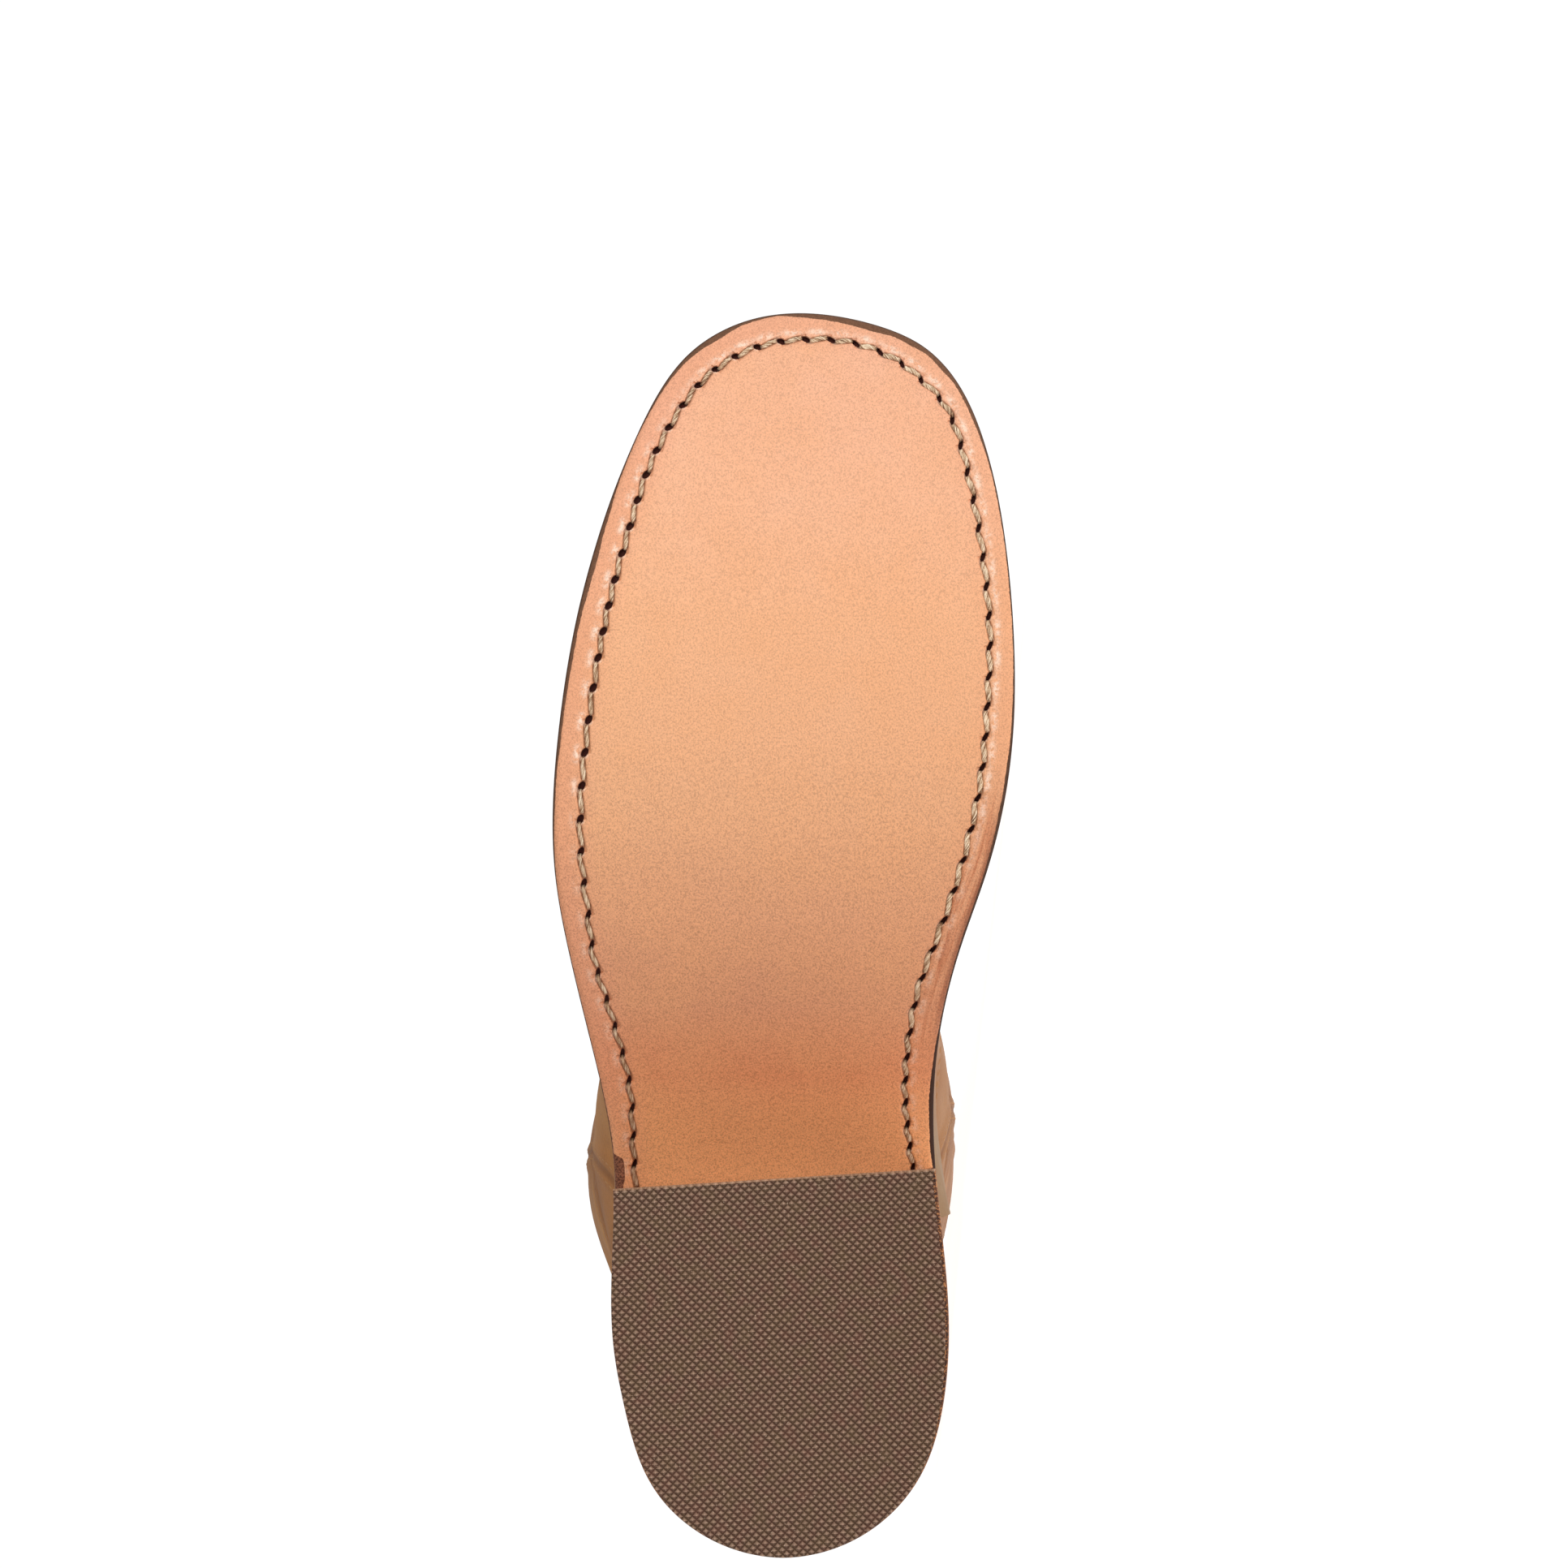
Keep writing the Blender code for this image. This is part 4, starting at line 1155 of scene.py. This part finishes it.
def make_sole(leather):
    """The outsole with its stitch groove and holes, columns following the stitches."""
    angle, number = sole_columns()
    edge = sole_outline(angle)
    count = len(angle)
    corner = np.linspace(0, math.pi / 2, CORNER_ROWS + 1)
    profile = [(EDGE_BEVEL, OUTSOLE_THICKNESS)]
    profile += [(0.0, rise) for rise in np.linspace(OUTSOLE_THICKNESS - EDGE_BEVEL, EDGE_ROUND, SIDE_ROWS)]
    profile += [(EDGE_ROUND * (1 - math.cos(turn)), EDGE_ROUND * (1 - math.sin(turn))) for turn in corner[1:]]
    for start, end, rows in ((EDGE_ROUND, RIM_EDGE, RIM_EDGE_ROWS), (RIM_EDGE, RIM_WIDTH, RIM_ROWS)):
        profile += [(depth, 0.0) for depth in np.linspace(start, end, rows + 1)[1:]]
    share = edge_share(number)
    width = rim_value("dressing", share)
    loops = []
    marks = {mark: [] for mark in ("rim", "run", "dress", "hole_shade", "hole_highlight", "groove", "rub")}
    for depth, rise in profile:
        sink, *masks = rim_relief(number, np.full(count, depth))
        flat = rise <= 0
        dress = width if rise < EDGE_ROUND else np.full(count, RIM_WIDTH)
        loops.append(lifted(inset(edge, depth), rise + sink * flat))
        values = (np.full(count, depth), share, dress, *(mask * flat for mask in masks))
        for mark, row in zip(marks, values):
            marks[mark].append(row)
    rows = len(loops)
    points = [np.concatenate(loops)]
    faces = [grid_faces(rows, count, True)]

    half = count // 2
    for loop_row, cells, rise in ((rows - 1, RUNG_CELLS, 0.0), (0, TOP_RUNG_CELLS, OUTSOLE_THICKNESS)):
        first = sum(len(block) for block in points)
        near, far = loops[loop_row][:half, :2], loops[loop_row][::-1][:half, :2]
        part = np.linspace(0, 1, cells + 1)[1:-1]
        middle = lifted(part_way(near[:, None], far[:, None], part[None, :, None]), rise)
        points.append(middle.reshape(-1, 3))
        row_start = loop_row * count
        ladder = np.empty((half, cells + 1), int)
        ladder[:, 0] = row_start + np.arange(half)
        ladder[:, -1] = row_start + count - 1 - np.arange(half)
        ladder[:, 1:-1] = first + np.arange(half * (cells - 1)).reshape(half, cells - 1)
        quads = np.stack([ladder[:-1, :-1], ladder[1:, :-1], ladder[1:, 1:], ladder[:-1, 1:]], axis=-1)
        faces.append(quads.reshape(-1, 4))
        extra = middle.shape[0] * middle.shape[1]
        for mark in marks:
            marks[mark].append(np.full(extra, INNER_RIM if mark == "rim" else 0.0))
    marks = {mark: np.concatenate(values) for mark, values in marks.items()}
    points, faces = np.concatenate(points), np.concatenate(faces)
    add_piece("sole", points, faces, [leather], "sole_leather", ("outsole",), marks, sharp=50)


def tube(path, radius, sides, side_axis, up_axis):
    """Points of a tube along a path, ring by ring."""
    turn = 2 * math.pi * np.arange(sides)[:, None] / sides
    ring = np.cos(turn) * side_axis[..., None, :] + np.sin(turn) * up_axis[..., None, :]
    return path[..., None, :] + ring * np.asarray(radius)[..., None, None]


def tube_faces(rows, sides, first=0):
    """Quads of a tube and the two caps of its ends."""
    last = first + (rows - 1) * sides
    caps = [list(range(start, start + sides)) for start in (first, last)]
    return grid_faces(rows, sides, True, first).tolist() + caps


def line_frame(number, depth):
    """Points of the sole's underside on the stitch line, with its inward and down directions."""
    angle = np.interp(number, LINE_COUNT, LINE_ANGLE)
    line_depth = rim_value("depth", edge_share(number))
    edge = sole_outline(angle)
    along = unit(sole_outline(angle + NORMAL_STEP) - edge)
    inward = leftward(along)
    start = lifted(edge + inward * (line_depth + depth)[:, None], 0.0)
    along = unit(np.column_stack([along, sole_slope(start[:, 1]) * along[:, 1]]))
    inward = np.column_stack([inward, np.zeros(len(inward))])
    down = np.cross(inward, along)
    down *= -np.sign(down[:, 2:])
    return start, inward, down


def make_sole_stitches(material):
    """Plied threads, each sunk in the groove from one hole to the next."""
    points, faces = [], []
    turn = 2 * math.pi * np.arange(THREAD_SIDES) / THREAD_SIDES
    strands = {"strand_side": [], "strand_up": [], "strand_run": []}
    for stitch in range(STITCHES):
        hidden = THREAD_HIDDEN / rim_value("pitch", edge_share(stitch + 0.5))
        part = np.linspace(hidden, 1 - hidden, THREAD_RINGS)
        number = np.clip(stitch + part, 0, STITCHES)
        lateral = lateral_share(edge_share(number))
        place, inward, down = line_frame(number, THREAD_LEAN * (1 - 2 * part))
        radius = part_way(THREAD_RADIUS_MEDIAL, THREAD_RADIUS_LATERAL, lateral)
        ends = np.minimum(part, 1 - part) - hidden
        dive = THREAD_DIVE * smooth(THREAD_DIVE_PART, 0.0, ends)
        sink = THREAD_SINK + THREAD_SINK_LATERAL * lateral + dive
        centre = place - down * (sink + radius * THREAD_MIDDLE)[:, None]
        for ply in range(PLIES):
            phase = 2 * math.pi * (TWISTS * part + ply / PLIES)
            offset = inward * np.cos(phase)[:, None] - down * np.sin(phase)[:, None]
            path = centre + offset * (radius * PLY_OFFSET)[:, None]
            made = tube(path, radius * PLY_RADIUS, THREAD_SIDES, inward, down)
            faces += tube_faces(THREAD_RINGS, THREAD_SIDES, sum(len(ring) for ring in points))
            points.append(made.reshape(-1, 3))
            lay = turn[None, :] + phase[:, None]
            run = part[:, None] * STRAND_RUN + stitch * STRAND_STITCH + ply * STRAND_PLY
            for mark, values in zip(strands, (np.cos(lay), np.sin(lay), run)):
                strands[mark].append(np.broadcast_to(values, lay.shape).ravel())
    marks = {mark: np.concatenate(values) for mark, values in strands.items()}
    add_piece("sole_stitches", np.concatenate(points), faces, [material], "sole_leather", marks=marks)


def heel_outline(level, count):
    """D-shaped plan of the heel at a level, 0 on the floor and 1 at the outsole, from the back round."""
    half_count = count // 2
    back = HEEL_BACK_RAKE * (1 - level) + HEEL_SEAT_INSET
    sides = []
    for breast, sign in ((BREAST_LATERAL, 1), (BREAST_MEDIAL, -1)):
        angle = (np.arange(half_count) + 0.5) / (half_count - 0.5) * angle_of(breast)
        centre, half = foot_plan(angle)
        front = breast - BREAST_RAKE * level
        y = back + SOLE_LENGTH * share_of(angle) * (front - back) / breast
        seat_half = half - HEEL_SEAT_INSET * np.tanh(half / HEEL_SEAT_EASE)
        x = centre + sign * seat_half * (1 - HEEL_TAPER * (1 - level))
        sides.append(np.column_stack([x, y]))
    return np.concatenate([sides[0], sides[1][::-1]])


def plate(loops):
    """Points and faces of a solid stacked from closed loops, whose points have twins across the middle."""
    count = len(loops[0])
    faces = [grid_faces(len(loops), count, True)]
    k = np.arange(count // 2 - 1)
    lid = np.stack([k, k + 1, count - 2 - k, count - 1 - k], axis=1)
    faces += [lid, lid + (len(loops) - 1) * count]
    return np.concatenate(loops), np.concatenate(faces)


def knurl_block():
    """A slab whose underside is a lattice of flat-topped diamonds, larger than the heel."""
    cell = np.arange(-KNURL_CELLS, KNURL_CELLS)
    column, row = (grid.ravel() for grid in np.meshgrid(cell, cell, indexing="ij"))
    cells = len(column)
    corners = np.arange(-KNURL_CELLS, KNURL_CELLS + 1) - 0.5
    u, v = (grid.ravel() for grid in np.meshgrid(corners, corners, indexing="ij"))
    points = [np.column_stack([u, v, np.full(len(u), KNURL_DEPTH)])]
    flat = KNURL_TOP / 2
    for side_u, side_v in ((-flat, -flat), (flat, -flat), (flat, flat), (-flat, flat)):
        points.append(np.column_stack([column + side_u, row + side_v, np.zeros(cells)]))
    points = np.concatenate(points)

    index = np.arange(len(u)).reshape(len(corners), len(corners))
    groove = (index[:-1, :-1], index[1:, :-1], index[1:, 1:], index[:-1, 1:])
    groove = [grid.ravel() for grid in groove]
    top = [len(u) + k * cells + np.arange(cells) for k in range(4)]
    faces = [np.stack(top, axis=1)]
    for k in range(4):
        after = (k + 1) % 4
        faces.append(np.stack([groove[k], groove[after], top[after], top[k]], axis=1))
    rim = np.concatenate([index[:-1, 0], index[-1, :-1], index[:0:-1, -1], index[0, :0:-1]])
    lid = len(points) + np.arange(len(rim))
    faces.append(np.stack([rim, np.roll(rim, -1), np.roll(lid, -1), lid], axis=1))
    faces = np.concatenate(faces).tolist() + [lid.tolist()]
    lid_height = TOP_LIFT_THICKNESS + 2 * CUT_MARGIN
    points = np.concatenate([points, points[rim] * [1, 1, 0] + [0, 0, lid_height]])

    cosine, sine = math.cos(KNURL_TURN), math.sin(KNURL_TURN)
    turn = np.array([[cosine, -sine], [sine, cosine]])
    plan = points[:, :2] * KNURL_SIDE @ turn.T + KNURL_MIDDLE
    return np.column_stack([plan, points[:, 2]]), faces


def make_top_lift(material):
    """The rubber lift: the knurled slab cut to the heel's outline."""
    loops = []
    for height in (0.0, TOP_LIFT_THICKNESS):
        plan = heel_outline(height / HEEL_HEIGHT, HEEL_POINTS)
        across, along = plan.T
        front = np.where(across > 0, BREAST_LATERAL, BREAST_MEDIAL)
        side = np.where(across > 0, RUBBER_INSET_LATERAL, RUBBER_INSET_MEDIAL)
        depth = part_way(RUBBER_INSET_BACK, side, smooth(*RUBBER_BACK, along))
        depth *= smooth(*RUBBER_FLUSH, front - along)
        loops.append(np.column_stack([inset(plan, depth[:, None]), np.full(HEEL_POINTS, height)]))
    loops[0][:, 2] -= CUT_MARGIN
    body = link("lift_body", closed_mesh("lift_body", *plate(loops)))
    slab = link("lift_slab", closed_mesh("lift_slab", *knurl_block()))
    cut = body.modifiers.new("cut", "BOOLEAN")
    cut.operation = "INTERSECT"
    cut.solver = "MANIFOLD"
    cut.object = slab
    mesh = bpy.data.meshes.new_from_object(body.evaluated_get(bpy.context.evaluated_depsgraph_get()))
    points = np.array([v.co for v in mesh.vertices]) / MM
    faces = [list(face.vertices) for face in mesh.polygons]
    bpy.data.objects.remove(body)
    bpy.data.objects.remove(slab)
    add_piece("knurled_top_lift", points, faces, [material], "heel_rubber", ("top_lift",), sharp=12)


def make_heel_lifts(material):
    """The leather lifts between the top lift and the outsole, sanded nearly flush."""
    base = TOP_LIFT_THICKNESS
    first_level = base / HEEL_HEIGHT
    share = np.linspace(0, 1, HEEL_LIFTS + 1)
    wander = np.random.default_rng(LIFT_SEED)
    under = GAP * LIFT_GAP
    for k in range(HEEL_LIFTS):
        low, high = share[k], share[k + 1]
        proud = wander.uniform(-LIFT_UNEVEN, LIFT_UNEVEN)
        steps = (
            (low, LIFT_BEVEL, under),
            (low, proud, under + LIFT_BEVEL),
            ((low + high) / 2, proud - LIFT_FULL, under / 2),
            (high, proud, -LIFT_BEVEL),
            (high, LIFT_BEVEL, 0.0),
        )
        loops = []
        for part, depth, shift in steps:
            plan = inset(heel_outline(part_way(first_level, 1, part), LIFT_POINTS), depth)
            height = part_way(base, sole_height(plan[:, 1]) - GAP, part)
            loops.append(np.column_stack([plan, height + shift]))
        nodes = (f"heel_lift_{k + 1}",)
        add_piece(f"stacked_lift_{k + 1}", *plate(loops), [material], "stack_leather", nodes, sharp=40)


def welt_sections():
    """Cross-sections of the welt from the lateral end round the toe, its ends skived thin."""
    angle = edge_angles(WELT_LATERAL_END, WELT_MEDIAL_END, WELT_SECTIONS)
    fine = around(WELT_SAMPLES)
    edge = inset(sole_outline(fine), WELT_STEP)
    rim = np.column_stack([np.interp(angle, fine, edge[:, k]) for k in range(2)])
    clearance = np.full(fine.shape, VAMP_THICKNESS + WELT_CLEARANCE)
    skin = upper_offset(np.full(fine.shape, WELT_TOP_RING), fine, clearance)[:, :2]
    skin = skin[[np.argmin(np.sum((skin - place) ** 2, axis=1)) for place in rim]]
    part = np.linspace(0, 1, WELT_SECTIONS)
    ends = smooth(0.0, WELT_END_PART, part) * smooth(1.0, 1 - WELT_END_PART, part)
    full = part_way(WELT_END_THIN, 1, ends)
    low = OUTSOLE_THICKNESS + GAP
    high = WELT_THICKNESS
    # Corners of a section: their share of the way from the edge to the vamp, and their rise
    section = (
        (0.00, 0.0), (0.00, 1.0), (-0.01, 1.7), (0.00, high - 0.5), (0.08, high - 0.1), (0.25, high),
        (0.45, high), (WELT_ROW, high - 0.15), (0.75, high), (1.00, high), (1.00, 0.0),
    )
    sides = [lifted(part_way(rim, skin, share), low + rise * full) for share, rise in section]
    return np.stack(sides, axis=1)


def make_welt(sections, material):
    """The strip between the outsole's edge and the vamp."""
    points, faces = sections.reshape(-1, 3), tube_faces(*sections.shape[:2])
    add_piece("stitched_welt", points, faces, [material], "edge_leather", ("welt",), sharp=50)


def crease_lift(turn, ring):
    """Rise of the shaft's creases at a turn and a ring row, in millimetres."""
    lift = np.zeros(np.broadcast(turn, ring).shape)
    for place, row, reach, width, rise, tilt in zip(*CREASES.values()):
        away = (turn - place + 2) % 4 - 2
        across = ring - row - tilt * away
        lift += rise * np.exp(-((away / reach) ** 2) * 2 - (across / width) ** 2)
    return lift


def shaft_turns():
    """Turns of the shaft's columns, crowded at the side seams."""
    half = np.array(SEAM_COLUMN_TURNS)
    seam = np.concatenate([-half, half[::-1]])
    back = np.linspace(-PLAIN_TURN, PLAIN_TURN, BACK_COLUMNS)
    front = np.linspace(2 - PLAIN_TURN, 2 + PLAIN_TURN, FRONT_COLUMNS)
    turn = np.concatenate([back, 1 + seam, front, 3 + seam])
    return np.sort(turn % 4)


def from_seam(turn):
    """Turn from the nearer side seam."""
    return np.abs(np.abs(turn - 2) - 1)


def seam_ridge(turn, ring, edge):
    """Ridge of the side seams: two lapped leathers, with a fine groove down the middle."""
    away = from_seam(turn)
    ridge = smooth(SEAM_HALF_TURN + SEAM_SLOPE_TURN, SEAM_HALF_TURN - SEAM_SLOPE_TURN, away)
    valley = smooth(SEAM_VALLEY_TURN, 0.0, away)
    return (SEAM_RIDGE * ridge - SEAM_VALLEY * valley) * smooth(0.0, SEAM_FADE_RING, ring - edge)


def shaft_relief(turn, ring):
    """Rise of the side seams and of the creases at a turn and a ring row."""
    edge = overlay_edge(turn)
    top = RING_ROWS[-1]
    fade = smooth(*CREASE_FADE, ring - edge) * smooth(top, top - CREASE_TOP, ring)
    return seam_ridge(turn, ring, edge), crease_lift(turn, ring) * fade


def make_upper(leather, lining):
    """Shaft and foot in one hollow wall, with creases, side seams and a lining."""
    turn = shaft_turns()
    edge = overlay_edge(turn)
    foot_top = edge - FOOT_TUCK
    foot = part_way(0, foot_top, np.linspace(0, 1, FOOT_ROWS)[:, None])
    shaft = part_way(foot_top, RING_ROWS[-1], np.linspace(0, 1, SHAFT_ROWS)[1:, None])
    ring = np.concatenate([foot, shaft])
    turn_grid = np.broadcast_to(turn, ring.shape)
    angle = angle_at(ring, turn_grid)
    ridge, lift = shaft_relief(turn_grid, ring)
    outer = upper_offset(ring, angle, ridge + lift)
    inner = upper_offset(ring, angle, lift * LINING_CREASED - UPPER_WALL)
    outside, inside, rims = shell_faces(*ring.shape, True)
    faces = np.concatenate([outside, inside, rims])
    parts = np.concatenate([np.zeros(len(outside)), np.ones(len(inside)), np.zeros(len(rims))])
    # Painted shade along the seams' grooves and in the creases' troughs
    valley = smooth(*SEAM_SHADE_TURNS, from_seam(turn_grid)) * smooth(0.0, SEAM_FADE_RING, ring - edge)
    marks = {
        "pull": np.clip(lift, 0, None),
        "painted_shade": np.maximum(np.clip(-lift - SUNK_FROM, 0, None) / SUNK_DEPTH, valley),
        "bent": np.clip(np.abs(lift), 0, 1),
    }
    plain = np.zeros(ring.size)
    marks = {mark: np.concatenate([values.ravel(), plain]) for mark, values in marks.items()}
    points = np.concatenate([outer.reshape(-1, 3), inner.reshape(-1, 3)])
    looks = [leather, lining]
    add_piece("creased_upper", points, faces, looks, "upper_leather", ("upper",), marks, parts, sharp=60)


def near_joint(turn):
    """1 at the medial joint of vamp and counter, falling to 0 where the vamp no longer stands off."""
    return np.clip(1 - np.abs(3 - turn % 4) / VAMP_FLARE_TURN, 0, 1) ** VAMP_FLARE_POWER


def overlay_depth(turn, part, thickness, flare):
    """How far the outside of vamp or counter stands off the upper, at a turn and a share of its height."""
    edge_fall = OVERLAY_EDGE_FALL * smooth(OVERLAY_EDGE_PART, 1.0, part)
    pared = VAMP_SKIVED * smooth(*VAMP_SKIVED_FROM, turn % 4) * smooth(*VAMP_SKIVED_TO, turn % 4)
    stand = flare * near_joint(turn) * np.sin(math.pi * part)
    return GAP + thickness * (1 - pared) - edge_fall + stand


def make_overlay(name, node, turn, thickness, joint_shift, flare, leather):
    """A leather over the foot of the upper, with a rounded edge."""
    part = np.linspace(0, 1, OVERLAY_ROWS)[:, None]
    ring = part * overlay_edge(turn % 4)
    angle = angle_at(ring, np.broadcast_to(turn % 4, ring.shape))
    outer_depth = overlay_depth(turn, part, thickness, flare)
    inner_depth = overlay_depth(turn, np.minimum(part, OVERLAY_EDGE_PART), 0.0, flare)
    points = []
    for depth in (outer_depth, inner_depth):
        face = upper_offset(ring, angle, depth)
        face[:, (0, -1), 1] += joint_shift
        points.append(face.reshape(-1, 3))
    joint = near_joint(turn)
    # Painted shade at the overlay's foot and at the medial joint
    shade = JOINT_SHADE - JOINT_SHADE_FLARED * flare
    marks = {
        "pull": EDGE_PULL * smooth(EDGE_PULL_PART, OVERLAY_EDGE_PART, part),
        "raw": flare * joint,
        "painted_shade": np.maximum(smooth(FOOT_SHADE_PART, 0.0, part), shade * joint),
    }
    marks = {mark: np.tile(np.broadcast_to(values, ring.shape).ravel(), 2) for mark, values in marks.items()}
    faces = np.concatenate(shell_faces(*ring.shape, False))
    add_piece(name, np.concatenate(points), faces, [leather], "upper_leather", (node,), marks, sharp=50)


def row_threads(path, normal, pitch, radius):
    """Points of the short threads of a row of stitches along a path, by thread, ring and side."""
    arc = running(np.linalg.norm(np.diff(path, axis=0), axis=1))
    count = int(arc[-1] / pitch)
    part = np.linspace(-0.5, 0.5, SEAM_THREAD_RINGS)
    where = arc[-1] / count * (np.arange(count)[:, None] + 0.5 + part * SEAM_SHOWN)
    read = [[np.interp(where, arc, line[:, k]) for k in range(3)] for line in (path, normal)]
    place, up = np.stack(read, axis=0).transpose(0, 2, 3, 1)
    side = unit(np.cross(np.gradient(place, axis=1), up))
    up = unit(up)
    rise = -radius * (SEAM_THREAD_SUNK + np.abs(2 * part) ** 4)
    return tube(place + up * rise[:, None], radius, SEAM_THREAD_SIDES, side, SEAM_THREAD_FLAT * up)


def upper_row(turn, ring, depth):
    """Path and normals of a row of stitches on the upper."""
    angle = angle_at(ring, turn % 4)
    return upper_offset(ring, angle, depth), upper_normal(ring, angle)


def ring_below(turn, ring, distance):
    """Ring row that lies a distance below another at a turn."""
    step = 0.05
    above, below = (upper_surface(row, angle_at(row, turn % 4)) for row in (ring, ring - step))
    return ring - step * distance / np.linalg.norm(above - below, axis=-1)


def seam_rows():
    """Paths and normals of every row of stitches on shaft, vamp and counter."""
    rows = []
    overlays = ((2, VAMP_THICKNESS, VAMP_FLARE), (0, COUNTER_THICKNESS, 0.0))
    half = 1 - EDGE_ROW_END
    for distance in EDGE_ROWS:
        for middle, thickness, flare in overlays:
            turn = np.linspace(middle - half, middle + half, SEAM_SAMPLES)
            edge = overlay_edge(turn % 4)
            ring = ring_below(turn, edge, distance)
            rows.append(upper_row(turn, ring, overlay_depth(turn, ring / edge, thickness, flare)))
    for side in (1, 3):
        for shift in (-SEAM_ROW_TURN, SEAM_ROW_TURN):
            turn = np.full(SEAM_SAMPLES, side + shift)
            low = overlay_edge(turn[0]) + SEAM_ROW_LOW
            ring = np.linspace(low, RING_ROWS[-1] - SEAM_ROW_TOP, SEAM_SAMPLES)
            rows.append(upper_row(turn, ring, sum(shaft_relief(turn, ring))))
    for distance in COLLAR_ROWS:
        turn = np.linspace(0, 4, SEAM_SAMPLES)
        ring = ring_below(turn, np.full(SEAM_SAMPLES, RING_ROWS[-1]), distance)
        rows.append(upper_row(turn, ring, sum(shaft_relief(turn % 4, ring))))
    return rows


def make_rows(name, rows, pitch, radius, material, slot):
    """A piece of all the threads of some rows of stitches."""
    threads = np.concatenate([row_threads(path, normal, pitch, radius) for path, normal in rows])
    count, rings, sides = threads.shape[:3]
    faces = []
    for k in range(count):
        faces += tube_faces(rings, sides, k * rings * sides)
    add_piece(name, threads.reshape(-1, 3), faces, [material], slot)


def welt_row(sections):
    """Path and normals of the stitches along the welt's groove."""
    path = sections[WELT_END_SECTIONS:-WELT_END_SECTIONS, WELT_ROW_POINT]
    return path, np.column_stack([np.zeros(len(path)), -sole_slope(path[:, 1]), np.ones(len(path))])


def make_camera():
    """The photo's camera, straight at the sole with the toe at the top of the picture."""
    data = bpy.data.cameras.new("camera")
    data.sensor_width = SENSOR_WIDTH
    data.lens = FOCAL_PIXELS / PHOTO_SIZE * SENSOR_WIDTH
    data.clip_start = CLIP_START
    camera = link("camera", data)
    ahead = Vector((0, math.sin(CAMERA_PITCH), math.cos(CAMERA_PITCH)))
    up = Vector((0, math.cos(CAMERA_PITCH), -math.sin(CAMERA_PITCH)))
    turn = Matrix((ahead.cross(up), up, -ahead)).transposed().to_4x4()
    camera.matrix_world = LYING @ Matrix.Translation(Vector(CAMERA_PLACE) * MM) @ turn
    bpy.context.scene.camera = camera


def make_stage():
    """White floor, white surroundings, and a soft key light from the toe's side."""
    mesh = bpy.data.meshes.new("floor")
    corners = [(x * FLOOR_HALF, y * FLOOR_HALF, 0) for x, y in ((-1, -1), (1, -1), (1, 1), (-1, 1))]
    mesh.from_pydata(corners, [], [(0, 1, 2, 3)])
    white = (1.0, 1.0, 1.0, 1.0)
    made = Finish("floor", Specular_IOR_Level=0.1, Emission_Color=white, Emission_Strength=FLOOR_GLOW)
    tone = made.spots(900, 2, 0.5, *zip((0.0, 1.0), FLOOR_TONES))
    mesh.materials.append(made.done(tone, 0.9, made.bump(made.noise(20, 2), 0.01)))
    floor = link("floor", mesh)

    world = bpy.data.worlds.new("studio")
    bpy.context.scene.world = world
    world.use_nodes = True
    nodes, links = world.node_tree.nodes, world.node_tree.links
    background = nodes["Background"]
    background.inputs["Color"].default_value = white
    seen = nodes.new("ShaderNodeLightPath")
    glow = nodes.new("ShaderNodeMapRange")
    for socket, value in (("To Min", AMBIENT), ("To Max", BACKDROP)):
        glow.inputs[socket].default_value = value
    links.new(seen.outputs["Is Camera Ray"], glow.inputs["Value"])
    links.new(glow.outputs[0], background.inputs["Strength"])
    light = bpy.data.lights.new("key", "AREA")
    light.size = KEY_SIZE
    light.energy = KEY_POWER
    key = link("key", light)
    key.location = KEY_PLACE
    key.rotation_euler = (Vector(KEY_TARGET) - key.location).to_track_quat("-Z", "Y").to_euler()
    bpy.context.scene.view_settings.view_transform = "Standard"


make_camera()
make_stage()
tan = upper_leather()
lining = lining_leather()
make_sole(sole_leather())
sole_thread = thread()
make_sole_stitches(sole_thread)
make_top_lift(heel_rubber())
make_heel_lifts(stack_leather())
welt = welt_sections()
make_welt(welt, edge_leather())
make_rows("welt_stitches", [welt_row(welt)], WELT_PITCH, WELT_THREAD_RADIUS, sole_thread, "edge_leather")
make_upper(tan, lining)
vamp_turns = np.linspace(1, 3, VAMP_COLUMNS)
make_overlay("fine_vamp", "vamp", vamp_turns, VAMP_THICKNESS, GAP / 2, VAMP_FLARE, tan)
counter_turns = np.linspace(-1, 1, COUNTER_COLUMNS)
make_overlay("fine_counter", "counter", counter_turns, COUNTER_THICKNESS, -GAP / 2, 0.0, tan)
make_rows("seam_stitches", seam_rows(), SEAM_PITCH, SEAM_RADIUS, seam_thread(), "upper_leather")
frame["nodes"]["insole"].data.materials.clear()
frame["nodes"]["insole"].data.materials.append(lining)
